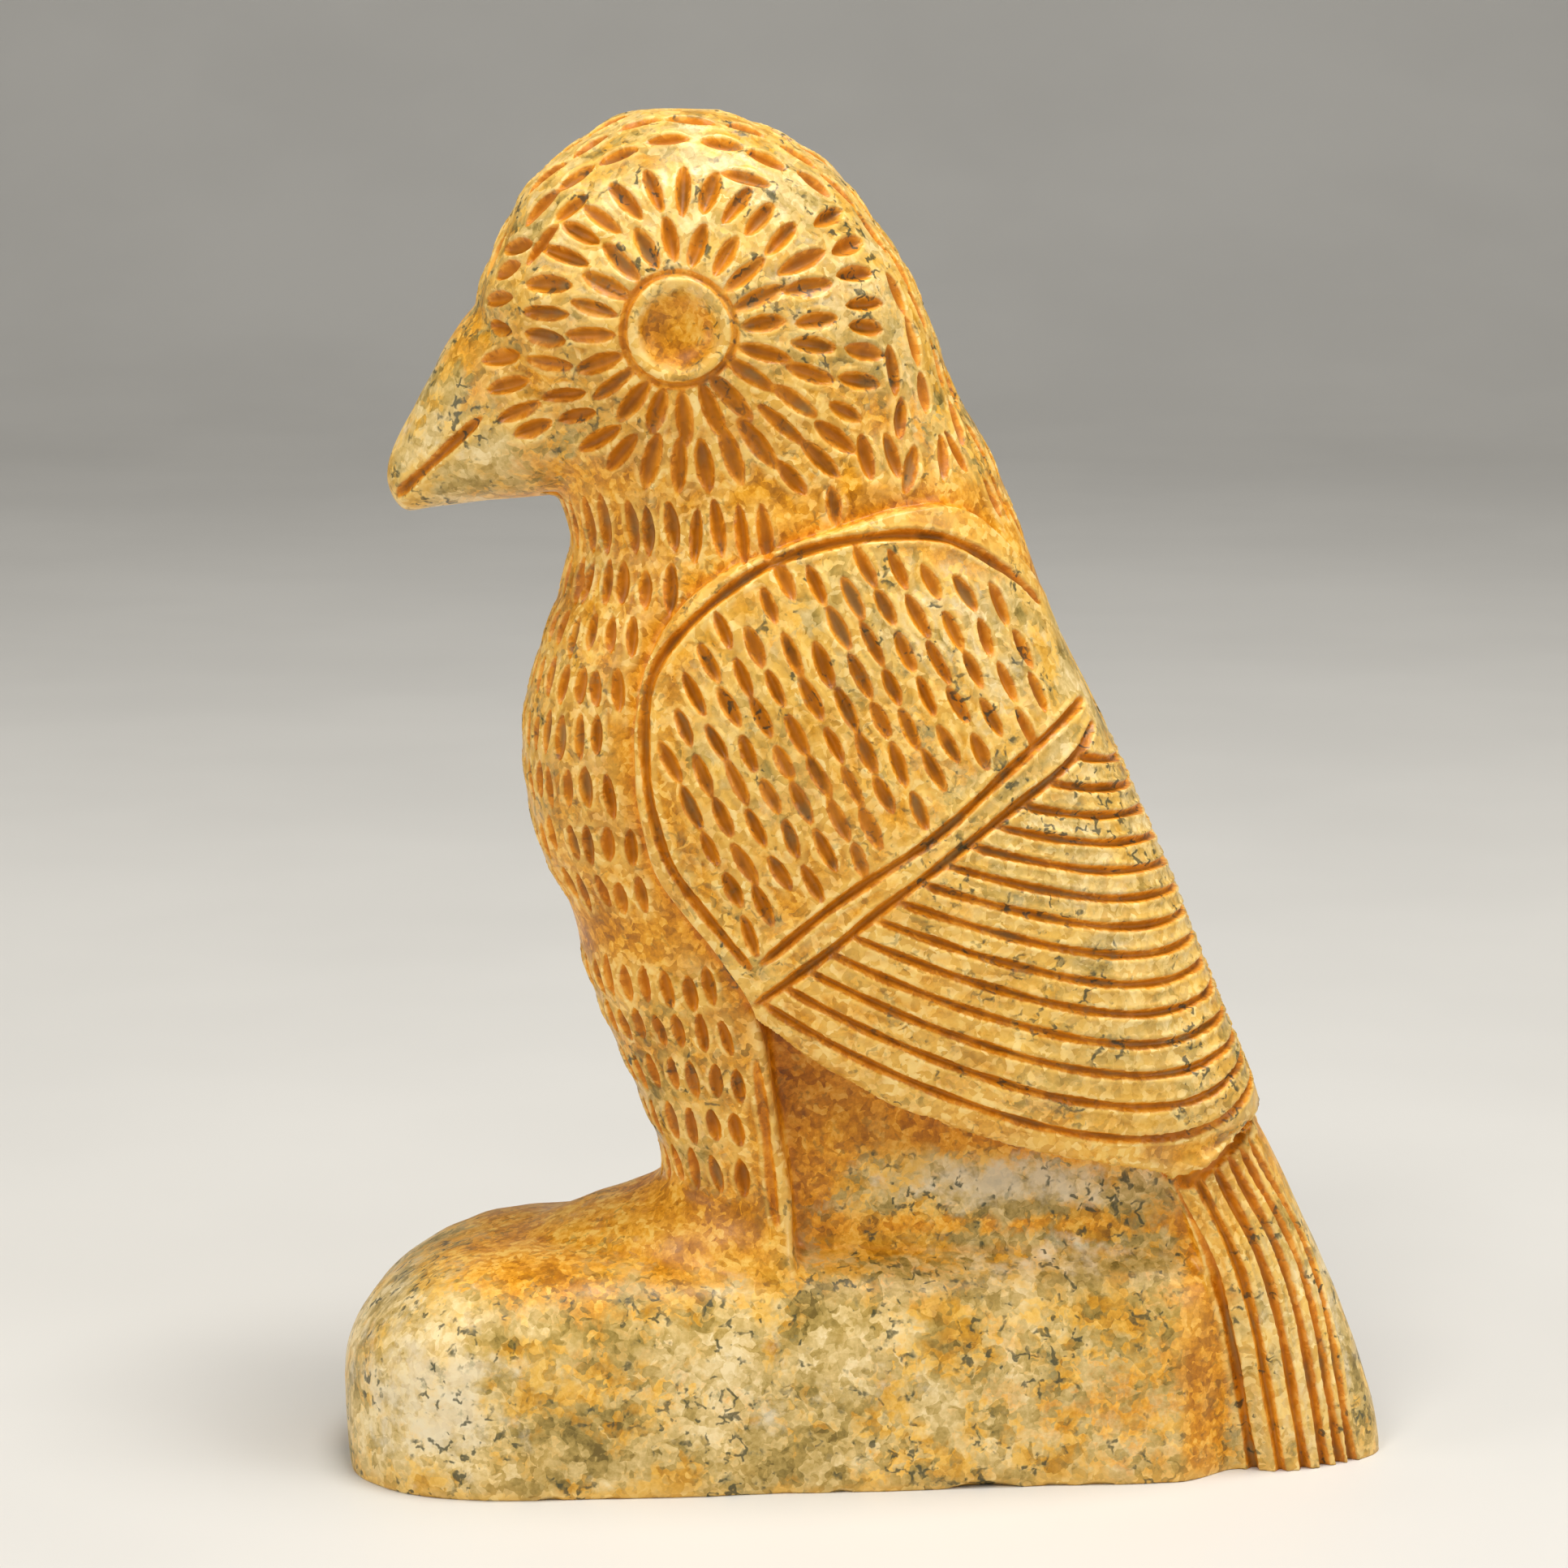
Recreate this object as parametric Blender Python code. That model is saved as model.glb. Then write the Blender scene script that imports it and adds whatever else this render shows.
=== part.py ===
"""A small carved stone bird on its own base, all cut from one stone.

Metres, +Z up.  The bird faces -X and its left side faces -Y.  The origin is
under the middle of the carving, on the flat underside.
"""
import math

import bmesh
import bpy
import numpy as np
from mathutils import Vector
from mathutils.bvhtree import BVHTree
from mathutils.kdtree import KDTree

# Driving sizes, in metres
FIGURE_HEIGHT = 0.1075     # crown of the head above the base's top
WEB_WIDTH = 0.0170         # across the recessed wall behind the legs
BASE_LENGTH = 0.0835       # front of the base to the channel before the tail
BASE_HEIGHT = 0.0225       # floor to the base's top
BASE_FRONT_WIDTH = 0.0370  # across the base near its front end
BASE_REAR_WIDTH = 0.0250   # across the base near the tail
NOSE_ROUND = 0.0160        # length of the base's rounded front, seen from above
TOP_ROUND = 0.0175         # the same, seen from the side
FOOT_ROUND = 0.0022        # and at its lower edge
TAPER_START = 0.0200       # where the base starts to narrow, from its front
SLOPE_LENGTH = 0.0300      # how far back the base's top slopes up
CHANNEL_WIDTH = 0.0050     # hollow upright channel between the base and the tail
CHANNEL_DEPTH = 0.0038     # how far the channel lies behind the base's side
CHANNEL_LIP = 0.0030       # length over which the base's side turns into the channel
BELOW = 0.0020             # stone run below the floor, cut off flat at the end
WAIST_SHARE = 0.36         # height of the base's widest level, as a share of its height
SLOPE_SHARE = 0.15         # rise of its sloping top, as a share of its height
LIP_SHARE = 0.33           # how much of the channel's turn lies before the base's end

# The figure's own measure: points of the free form below are given in it,
# x along the carving and z above the floor
FIGURE_UNITS = 107.5
BASE_TOP_UNITS = 22.5
CHANNEL_X = 33.0
UNIT = FIGURE_HEIGHT / FIGURE_UNITS
BASE_FRONT = CHANNEL_X * UNIT - BASE_LENGTH

VOXEL = 0.00040            # grid on which the lofted volumes are fused
SOFTEN_ROUNDS = 26         # rounds of smoothing over the fused junctions

# Torso and head: front x, z, back x, z, half width, squareness, widest point
BODY_STATIONS = (
    (-36.6, 20.4, 31.0, 10.0, 14.8, 2.2, 0.00),
    (-28.2, 24.0, 34.0, 18.0, 13.8, 2.3, 0.00),
    (-20.8, 26.6, 36.0, 24.0, 12.9, 2.5, 0.00),
    (-19.3, 29.4, 36.4, 27.0, 13.3, 2.6, 0.00),
    (-21.0, 34.0, 37.0, 33.6, 14.4, 2.7, -0.05),
    (-21.9, 36.4, 38.2, 36.0, 14.9, 2.7, -0.05),
    (-24.2, 42.0, 35.6, 42.4, 15.8, 2.7, -0.05),
    (-26.6, 48.4, 32.3, 50.4, 16.6, 2.7, 0.00),
    (-28.0, 54.5, 29.1, 58.4, 17.0, 2.7, 0.00),
    (-31.0, 60.5, 25.6, 66.3, 17.2, 2.6, 0.05),
    (-32.4, 67.0, 21.9, 74.2, 17.2, 2.6, 0.05),
    (-32.3, 74.0, 18.1, 82.1, 16.8, 2.5, 0.05),
    (-30.7, 80.1, 15.2, 89.9, 15.8, 2.4, 0.05),
    (-28.9, 85.0, 12.0, 97.6, 14.4, 2.3, 0.00),
    (-27.8, 90.0, 8.6, 103.5, 13.6, 2.3, 0.00),
    (-29.5, 95.5, 7.1, 108.0, 14.0, 2.3, 0.00),
    (-33.0, 101.5, 5.6, 111.8, 14.6, 2.3, 0.00),
    (-35.8, 107.5, 3.9, 115.4, 14.8, 2.3, 0.00),
    (-36.4, 113.0, 1.7, 118.7, 14.2, 2.3, 0.00),
    (-33.3, 120.6, -1.0, 122.5, 12.4, 2.2, 0.00),
    (-30.4, 124.4, -4.1, 125.5, 10.2, 2.1, 0.00),
    (-25.4, 128.4, -9.0, 128.5, 6.8, 2.0, 0.00),
    (-21.7, 130.0, -14.3, 130.1, 3.4, 2.0, 0.00),
)

# Beak: upper x, z, lower x, z, half width
BEAK_STATIONS = (
    (-27.0, 113.0, -22.0, 96.0, 10.5),
    (-35.3, 112.6, -28.5, 94.2, 10.0),
    (-38.6, 109.3, -34.0, 93.5, 7.9),
    (-41.1, 105.3, -38.3, 93.0, 6.0),
    (-43.3, 101.3, -41.6, 92.5, 4.4),
    (-45.0, 97.8, -43.6, 92.3, 3.1),
    (-45.5, 95.6, -44.8, 93.6, 1.4),
)

# Tail: front x, z, back x, z, half width of the flanks and of the back edge
TAIL_STATIONS = (
    (24.0, 36.0, 34.4, 39.0, 12.2, 6.0),
    (26.4, 33.0, 37.2, 34.6, 12.4, 6.2),
    (28.5, 30.0, 39.5, 31.0, 12.6, 6.4),
    (31.5, 21.0, 44.0, 21.0, 12.0, 5.8),
    (33.6, 12.0, 47.9, 12.0, 11.2, 5.2),
    (35.8, 3.5, 50.4, 3.5, 10.4, 4.6),
    (36.8, -2.0, 51.0, -2.0, 10.0, 4.4),
)

# The recess under the wings: its bounds in the side view
WING_LOWER_EDGE = ((-10.7, 47.9), (-5.0, 43.6), (2.6, 38.9), (10.2, 35.7), (17.8, 33.6),
                   (25.5, 31.8), (29.5, 30.7), (33.0, 31.4), (36.2, 33.7), (38.6, 35.4),
                   (46.0, 36.4))
LEG_BACK_EDGE = ((-6.2, 14.0), (-6.9, 28.0), (-8.3, 38.0), (-9.5, 44.5))
RECESS_FAR_CORNER = (46.0, 10.0)
RECESS_REACH = 36.0
WEB_OUTLINE = ((-12, 18), (-12, 46), (8, 42), (30, 36), (36, 18))

# Relief, in the figure's own measure; curves are side-view x, z
WING_RAISE, WING_STEP = 1.3, 0.8
GUTTER_DEPTH, GUTTER_WIDTH = 0.35, 2.6
WING_FRONT_EDGE = ((-10.6, 47.4), (-15.6, 54.5), (-19.8, 60.5), (-21.4, 68.0), (-21.2, 76.0),
                   (-19.0, 83.0), (-13.5, 88.2), (-5.0, 91.8), (4.0, 94.3), (9.5, 93.6),
                   (14.0, 89.4), (18.0, 84.0), (26.0, 76.0))
WING_BORDER_LINE = ((-10.7, 51.5), (-15.2, 57.0), (-18.6, 62.3), (-20.3, 70.0), (-19.9, 78.2),
                    (-16.4, 83.6), (-9.5, 88.9), (-1.3, 91.4), (7.0, 91.4), (13.2, 87.9),
                    (16.5, 84.6))
BAND_UPPER_LINE = ((-9.7, 51.9), (-2.4, 58.0), (7.0, 64.4), (13.6, 70.2), (20.6, 75.6))
BAND_LOWER_LINE = ((-10.4, 47.9), (-3.9, 52.7), (1.2, 57.0), (7.0, 61.4), (13.4, 66.2),
                   (19.6, 70.6), (21.6, 73.4))
FLIGHT_GROOVES = 14
FLIGHT_TOP_START, FLIGHT_TOP_END = (19.8, 70.7), (24.6, 69.8)
FLIGHT_LOW_START, FLIGHT_LOW_END = (-9.6, 48.2), (36.9, 38.2)
FLIGHT_FALL_TOP, FLIGHT_FALL_LOW = 0.28, 0.68      # slope at a groove's start
FLIGHT_HOOK_TOP, FLIGHT_HOOK_LOW = (0.22, 0.02), (0.12, 0.20)  # last bend: back, down
UNDERCUT_LINE = ((28.9, 29.6), (30.0, 29.4), (31.4, 29.8), (33.4, 31.2), (35.4, 32.7),
                 (37.2, 33.9))
UNDERCUT_HALF_WIDTH, UNDERCUT_DEPTH = 0.8, 0.6
BACK_SEAM = ((18.0, 84.0), (38.0, 36.5))
TAIL_SHARES = (0.0, 0.25, 0.48, 0.67, 0.82, 0.94)
TAIL_FIRST = ((29.5, 29.4), (34.1, 18.5), (38.1, -1.0))
TAIL_LAST = ((37.6, 32.6), (44.6, 18.5), (48.6, -1.0))
MOUTH_LINE = ((-45.0, 93.2), (-40.0, 98.0), (-35.7, 102.0))
LEG_EDGE_LINE = ((-10.2, 42.0), (-9.4, 36.0), (-8.6, 28.0), (-8.2, 25.0))
LEG_EDGE_HALF_WIDTH, LEG_EDGE_DEPTH = 0.5, 0.35
EYE = (-17.2, 110.6)
EYE_CUP, EYE_CUP_DEPTH = 3.9, 1.6
EYE_RING, EYE_RING_WIDTH, EYE_RING_DEPTH = 5.15, 0.55, 0.55
GROOVE_HALF_WIDTH, GROOVE_DEPTH = 0.62, 0.75
DASH_HALF_LENGTH, DASH_HALF_WIDTH, DASH_DEPTH = 2.2, 0.66, 0.75
DASH_CLEARANCE = 1.15                      # nearest that two dashes' middle lines come
ROSETTE_RINGS = ((7.9, 20, 0.2, 0, 360),     # radius, dashes, turn, first and last degree
                 (12.6, 30, 0.4, 0, 360),
                 (16.9, 40, 0.1, 150, 222),
                 (17.3, 42, 0.0, 305, 398))
ROSETTE_REACH = 14.4
ROSETTE_FLATTEN = (0.85, 0.55)             # lean of the dashes before the eye, inner and outer
BEAK_ROOT, BEAK_LEAN = (-33.0, 94.0), 0.14  # the smooth beak starts at this slanting line
CROWN_LEANS = (5, 14, 24, 34, 45)          # degrees to the side of the head's middle
CROWN_START, CROWN_STEP, CROWN_DASHES = 158, 13.5, 13
HEAD_CENTRE = (-16.0, 106.0)
ROW_SPACING, ROW_REACH = 8.6, 15.0         # degrees between dashes, at this distance
NAPE_LEAN = 0.45                           # how far the dashes lean back on the nape
NECK_AXIS, BREAST_AXIS, LEG_AXIS = -8.0, -14.0, -12.5
NAPE_HEIGHTS, NECK_HEIGHTS = (104.0, 99.0, 94.2), (91.9, 86.6)
BREAST_HEIGHTS = (82.0, 77.4, 72.6, 67.6, 62.4, 57.6)
LEG_HEIGHTS = (48.8, 44.4, 39.6, 34.8, 30.0)
LEG_ROWS_BELOW, LEG_ROWS_BEHIND = 48.0, -11.0  # the leg's dashes stop behind this x
WING_CLEARANCE = 1.2                       # dashes stay this far from the wing's front edge
COVERT_CENTRE, COVERT_RUN = (0.0, 72.0), (0.42, -0.91)
COVERT_PITCH, COVERT_GAP, COVERT_MARGIN = 4.7, 2.65, 1.7
TRIANGLES = 9800


def fig(x, z):
    """A point of the figure's middle plane; up to the base's top it follows the base."""
    in_base = min(z / BASE_TOP_UNITS, 1.0) * BASE_HEIGHT
    above = max(z - BASE_TOP_UNITS, 0.0) * UNIT
    return Vector((x * UNIT, 0.0, in_base + above))


def side_units(x, z):
    """The figure's own side-view measure of a place, the inverse of fig."""
    in_base = np.minimum(z / BASE_HEIGHT, 1.0) * BASE_TOP_UNITS
    above = np.maximum(z - BASE_HEIGHT, 0.0) / UNIT
    return x / UNIT, in_base + above


def catmull_rom(rows, steps):
    """Rows of numbers, with smooth rows put between them."""
    rows = [np.array(row, dtype=float) for row in rows]
    padded = [2 * rows[0] - rows[1]] + rows + [2 * rows[-1] - rows[-2]]
    result = []
    for i in range(1, len(padded) - 2):
        before, start, end, after = padded[i - 1:i + 3]
        for k in range(steps):
            t = k / steps
            result.append(0.5 * (2 * start + (end - before) * t
                                 + (2 * before - 5 * start + 4 * end - after) * t * t
                                 + (3 * start - before - 3 * end + after) * t ** 3))
    result.append(rows[-1])
    return result


def power(value, exponent):
    return math.copysign(abs(value) ** exponent, value)


def oval(front, back, half_width, squareness=2.0, shift=0.0, count=56):
    """A closed superellipse ring, from the front point to the back one."""
    middle = (front + back) / 2
    reach = front - middle
    ring = []
    for k in range(count):
        angle = math.tau * k / count
        u = power(math.cos(angle), 2 / squareness)
        v = power(math.sin(angle), 2 / squareness)
        ring.append(middle + reach * (u + shift * (1 - u * u)) + Vector((0, half_width * v, 0)))
    return ring


def add_loft(bm, rings):
    """Skin between rings with the same number of points, closed at both ends."""
    loops = [[bm.verts.new(point) for point in ring] for ring in rings]
    count = len(loops[0])
    for low, high in zip(loops, loops[1:]):
        for k in range(count):
            j = (k + 1) % count
            bm.faces.new((low[k], low[j], high[j], high[k]))
    bm.faces.new(tuple(reversed(loops[0])))
    bm.faces.new(tuple(loops[-1]))


def add_slab(bm, outline, y_near, y_far):
    """A middle-plane outline pulled sideways into a closed slab."""
    rings = []
    for y in (y_near, y_far):
        rings.append([point + Vector((0, y, 0)) for point in outline])
    add_loft(bm, rings)


def new_object(name, build):
    """An object whose mesh the given function fills through bmesh."""
    mesh = bpy.data.meshes.new(name)
    bm = bmesh.new()
    build(bm)
    bmesh.ops.recalc_face_normals(bm, faces=bm.faces)
    bm.to_mesh(mesh)
    bm.free()
    obj = bpy.data.objects.new(name, mesh)
    bpy.context.scene.collection.objects.link(obj)
    return obj


def applied(obj):
    """The object's mesh with its modifiers applied; the object is removed."""
    graph = bpy.context.evaluated_depsgraph_get()
    graph.update()
    mesh = bpy.data.meshes.new_from_object(obj.evaluated_get(graph))
    bpy.data.objects.remove(obj, do_unlink=True)
    return mesh


def build_body(bm):
    rings = []
    for fx, fz, bx, bz, half, square, shift in catmull_rom(BODY_STATIONS, 4):
        rings.append(oval(fig(fx, fz), fig(bx, bz), half * UNIT, square, shift))
    add_loft(bm, rings)


def build_recess(bm):
    """Cutter for both sides; the web wall stays between the legs and the tail."""
    outline = [fig(x, z) for x, z in LEG_BACK_EDGE + WING_LOWER_EDGE + (RECESS_FAR_CORNER,)]
    for side in (-1, 1):
        add_slab(bm, outline, side * WEB_WIDTH / 2, side * RECESS_REACH * UNIT)


def build_beak(bm):
    rings = []
    for ux, uz, lx, lz, half in catmull_rom(BEAK_STATIONS, 4):
        rings.append(oval(fig(ux, uz), fig(lx, lz), half * UNIT, 2.1, -0.15, 32))
    add_loft(bm, rings)


def build_tail(bm):
    """Sections with flat flanks that narrow to a rounded back edge."""
    rings = []
    for fx, fz, bx, bz, wide, narrow in catmull_rom(TAIL_STATIONS, 3):
        front, back = fig(fx, fz), fig(bx, bz)
        ring = []
        for point in oval(front, back, 1.0, 3.4, 0.0, 48):
            share = (point.x - front.x) / (back.x - front.x)
            half = (wide + (narrow - wide) * share ** 1.6) * UNIT
            ring.append(Vector((point.x, point.y * half, point.z)))
        rings.append(ring)
    add_loft(bm, rings)


def rounded(share, length, squareness):
    """A share's climb from 0 to 1 along a rounded end of the given length."""
    left = 1 - min(share / length, 1.0)
    return (1 - left ** squareness) ** (1 / squareness)


def base_section(along):
    """Half width, top and bottom of the base at a distance from its front."""
    taper = min(max((along - TAPER_START) / (BASE_LENGTH - TAPER_START), 0.0), 1.0)
    half = (BASE_FRONT_WIDTH + (BASE_REAR_WIDTH - BASE_FRONT_WIDTH) * taper) / 2
    half *= rounded(along, NOSE_ROUND, 2.3)
    turn = (along - BASE_LENGTH) / CHANNEL_LIP + LIP_SHARE
    half -= CHANNEL_DEPTH * min(max(turn, 0.0), 1.0)
    waist = WAIST_SHARE * BASE_HEIGHT
    slope = SLOPE_SHARE * BASE_HEIGHT * (1 - min(along / SLOPE_LENGTH, 1.0)) ** 2
    top = waist + (BASE_HEIGHT - slope - waist) * rounded(along, TOP_ROUND, 2.2)
    bottom = waist - (waist + BELOW) * rounded(along, FOOT_ROUND, 2.0)
    return half, top, bottom


def build_base(bm):
    """Cross sections along the base, upright below and rolled over at the top."""
    reach = BASE_LENGTH + CHANNEL_WIDTH
    rings = []
    for k in range(61):
        along = reach * max((k / 60) ** 1.7, 0.0003)
        half, top, bottom = base_section(along)
        middle = (top + bottom) / 2
        ring = []
        for i in range(64):
            angle = math.tau * i / 64
            square = 3.4 if math.sin(angle) > 0 else 9.0
            v = power(math.cos(angle), 2 / square)
            w = power(math.sin(angle), 2 / square)
            ring.append(Vector((BASE_FRONT + along, half * v, middle + (top - bottom) / 2 * w)))
        rings.append(ring)
    add_loft(bm, rings)


def build_web(bm):
    """The wall behind the legs, run into its neighbours."""
    add_slab(bm, [fig(x, z) for x, z in WEB_OUTLINE], -WEB_WIDTH / 2, WEB_WIDTH / 2)


def build_form():
    """The whole carving before its relief: volumes fused and softened."""
    body = new_object("body", build_body)
    recess = new_object("recess", build_recess)
    cut = body.modifiers.new("recess", 'BOOLEAN')
    cut.operation = 'DIFFERENCE'
    cut.object = recess
    body_mesh = applied(body)
    bpy.data.objects.remove(recess, do_unlink=True)

    whole = bpy.data.objects.new("whole", body_mesh)
    bpy.context.scene.collection.objects.link(whole)
    bm = bmesh.new()
    bm.from_mesh(body_mesh)
    for build in (build_beak, build_tail, build_base, build_web):
        build(bm)
    bmesh.ops.recalc_face_normals(bm, faces=bm.faces)
    bm.to_mesh(body_mesh)
    bm.free()
    fuse = whole.modifiers.new("fuse", 'REMESH')
    fuse.mode = 'VOXEL'
    fuse.voxel_size = VOXEL
    soften = whole.modifiers.new("soften", 'SMOOTH')
    soften.factor = 0.5
    soften.iterations = SOFTEN_ROUNDS
    return applied(whole)


def half_of(mesh):
    """The left half of the mesh, open along the middle plane."""
    bm = bmesh.new()
    bm.from_mesh(mesh)
    everything = bm.verts[:] + bm.edges[:] + bm.faces[:]
    bmesh.ops.bisect_plane(bm, geom=everything, plane_co=(0, 0, 0), plane_no=(0, 1, 0),
                           clear_outer=True)
    for vert in bm.verts:
        if vert.co.y > -1e-6:
            vert.co.y = 0.0
    bm.to_mesh(mesh)
    bm.free()
    return mesh


class Relief:
    """Strokes cut into the left half of the form, kept as a depth for each vertex."""

    def __init__(self, mesh):
        self.mesh = mesh
        self.places = [vert.co.copy() for vert in mesh.vertices]
        self.normals = [vert.normal.copy() for vert in mesh.vertices]
        self.depth = np.zeros(len(self.places))
        self.dashes = []
        self.tree = KDTree(len(self.places))
        for index, place in enumerate(self.places):
            self.tree.insert(place, index)
        self.tree.balance()
        self.surface = BVHTree.FromPolygons(self.places, [face.vertices for face in mesh.polygons])

    def hit(self, origin, direction):
        """Where a ray meets the form, and the normal there."""
        place, normal, index, distance = self.surface.ray_cast(origin, direction)
        return (place, normal) if place is not None else None

    def from_side(self, x, z):
        """The surface point seen at side-view x, z from the left."""
        return self.hit(fig(x, z) + Vector((0, -0.1, 0)), Vector((0, 1, 0)))

    def cut(self, place, normal, along, half_length, half_width, depth, tapered=True):
        """One stroke: a lens-shaped pit, or a short piece of an even groove."""
        along = (along - normal * along.dot(normal)).normalized()
        across = normal.cross(along)
        half_length, half_width, depth = half_length * UNIT, half_width * UNIT, depth * UNIT
        for co, index, distance in self.tree.find_range(place, half_length + half_width):
            if normal.dot(self.normals[index]) < 0.2:
                continue
            offset = co - place
            u = offset.dot(along) / half_length
            if abs(u) >= 1:
                continue
            width = half_width * ((1 - u * u) ** 0.6 if tapered else 1.0)
            v = offset.dot(across) / width
            if abs(v) >= 1:
                continue
            value = depth * (1 - v * v) * ((1 - u * u) ** 0.5 if tapered else 1.0)
            self.depth[index] = max(self.depth[index], value)

    def dash(self, place, normal, along):
        """A lens-shaped pit, left out where it would run into an earlier one."""
        along = (along - normal * along.dot(normal)).normalized()
        marks = [place + along * (share * DASH_HALF_LENGTH * UNIT) for share in (0.0, -0.65, 0.65)]
        for other in self.dashes:
            if (other[0] - place).length < 6 * UNIT:
                if min((a - b).length for a in marks for b in other) < DASH_CLEARANCE * UNIT:
                    return
        self.dashes.append(marks)
        self.cut(place, normal, along, DASH_HALF_LENGTH, DASH_HALF_WIDTH, DASH_DEPTH)

    def round_back(self, place, normal, rise):
        """Steps that carry a groove from the wing's back edge round to the back seam."""
        hits = []
        while place.y < -1.2 * UNIT and len(hits) < 30:
            level = Vector((0, 0, 1)).cross(normal).normalized()
            place = place + (level + Vector((0, 0, rise))).normalized() * UNIT
            rise *= 0.86
            place, normal, index, distance = self.surface.find_nearest(place)
            hits.append((place, normal))
        return hits

    def groove(self, curve, half_width=GROOVE_HALF_WIDTH, depth=GROOVE_DEPTH, steps=10,
               onward=False):
        """An even groove along a side-view curve, faded at both ends.

        With onward it is carried round the back edge to the middle of the back.
        """
        hits = [self.from_side(x, z) for x, z in catmull_rom(curve, steps)]
        hits = [hit for hit in hits if hit]
        if onward:
            while len(hits) > 2 and abs(hits[-1][1].y) < 0.6:
                hits.pop()
            run = (hits[-1][0] - hits[-2][0]).normalized()
            hits += self.round_back(*hits[-1], run.z)
        step = 0.25 * UNIT
        samples = []
        for (here, normal), (there, other) in zip(hits, hits[1:]):
            gap = there - here
            if gap.length > 6 * UNIT:
                continue
            count = max(1, math.ceil(gap.length / step))
            for k in range(count):
                samples.append((here.lerp(there, k / count), normal.lerp(other, k / count), gap))
        for k, (place, normal, gap) in enumerate(samples):
            fade = min(1.0, (k + 1) / 5, (len(samples) - k) / 5)
            self.cut(place, normal.normalized(), gap, 0.3, half_width, depth * fade, False)

    def finish(self):
        """Move the vertices in by their depths."""
        for vert, normal, depth in zip(self.mesh.vertices, self.normals, self.depth):
            vert.co = vert.co - normal * float(depth)


def curve_distance(points, curve):
    """Distance of side-view points to a polyline."""
    best = np.full(len(points), 1e9)
    for start, end in zip(curve, curve[1:]):
        start, run = np.array(start), np.array(end) - np.array(start)
        share = np.clip(((points - start) @ run) / (run @ run), 0, 1)
        best = np.minimum(best, np.linalg.norm(points - start - share[:, None] * run, axis=1))
    return best


def inside(points, outline):
    """Which side-view points lie inside a closed outline."""
    result = np.zeros(len(points), dtype=bool)
    x, z = points[:, 0], points[:, 1]
    for (ax, az), (bx, bz) in zip(outline, outline[1:] + outline[:1]):
        if az == bz:
            continue
        crosses = (az > z) != (bz > z)
        result ^= crosses & (x < ax + (z - az) * (bx - ax) / (bz - az))
    return result


def wing_outline():
    front = [tuple(row) for row in catmull_rom(WING_FRONT_EDGE, 4)]
    low = [tuple(row) for row in catmull_rom(WING_LOWER_EDGE, 3)]
    return low[::-1] + front + [(60.0, 76.0), (60.0, 38.0)]


def side_view(mesh):
    """Side-view x, z of the vertices in the figure's own measure."""
    co = np.empty(len(mesh.vertices) * 3)
    mesh.vertices.foreach_get("co", co)
    co = co.reshape(-1, 3)
    return np.stack(side_units(co[:, 0], co[:, 2]), axis=1)


def raise_wing(mesh):
    """Lift the wing above the breast with a soft step and a shallow gutter before it."""
    points = side_view(mesh)
    outline = wing_outline()
    within = inside(points, outline)
    edge = curve_distance(points, catmull_rom(WING_FRONT_EDGE, 4))
    lift = np.clip(edge / WING_STEP, 0, 1)
    lift = lift * lift * (3 - 2 * lift) * (WING_RAISE + GUTTER_DEPTH) - GUTTER_DEPTH
    gutter = -GUTTER_DEPTH * np.clip(1 - edge / GUTTER_WIDTH, 0, 1) ** 2
    lift = np.where(within, lift, gutter) * UNIT
    normals = [vert.normal.copy() for vert in mesh.vertices]
    for vert, normal, height in zip(mesh.vertices, normals, lift):
        if normal.z > -0.75:
            vert.co += normal * float(height) * min(1.0, abs(normal.y) / 0.6)


def carve_eye(relief):
    """A shallow cup in a raised ring, with a groove round it."""
    points = side_view(relief.mesh)
    reach = np.hypot(points[:, 0] - EYE[0], points[:, 1] - EYE[1])
    cup = EYE_CUP_DEPTH * np.clip(1 - (reach / EYE_CUP) ** 2, 0, 1)
    ring = EYE_RING_DEPTH * np.clip(1 - ((reach - EYE_RING) / EYE_RING_WIDTH) ** 2, 0, 1)
    near = np.array([normal.y < -0.3 for normal in relief.normals])
    relief.depth = np.maximum(relief.depth, np.where(near, np.maximum(cup, ring) * UNIT, 0))


def carve_rosette(relief):
    """Rings of dashes that point away from the eye; the outer one is partial."""
    for radius, count, turn, lowest, highest in ROSETTE_RINGS:
        for k in range(count):
            degrees = 360 * (k + turn) / count
            if not (lowest <= degrees <= highest or lowest <= degrees + 360 <= highest):
                continue
            angle = math.radians(degrees)
            out = Vector((math.cos(angle), 0, math.sin(angle)))
            hit = relief.from_side(EYE[0] + radius * out.x, EYE[1] + radius * out.z)
            if hit and not_beak(hit[0]):
                if out.x < 0:
                    out.z *= ROSETTE_FLATTEN[radius > ROSETTE_RINGS[0][0]]
                relief.dash(*hit, out)


def eye_distance(place):
    """How far a surface point lies from the eye in the side view."""
    eye = fig(*EYE)
    return math.hypot(place.x - eye.x, place.z - eye.z) / UNIT


def not_beak(place):
    """The beak stays smooth in front of a line from the brow to the jaw."""
    x, z = side_units(place.x, place.z)
    return x > BEAK_ROOT[0] - BEAK_LEAN * (z - BEAK_ROOT[1])


def on_wing(place):
    spot = np.array([side_units(place.x, place.z)])
    edge = curve_distance(spot, catmull_rom(WING_FRONT_EDGE, 4))[0]
    return inside(spot, wing_outline())[0] or edge < WING_CLEARANCE


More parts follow.
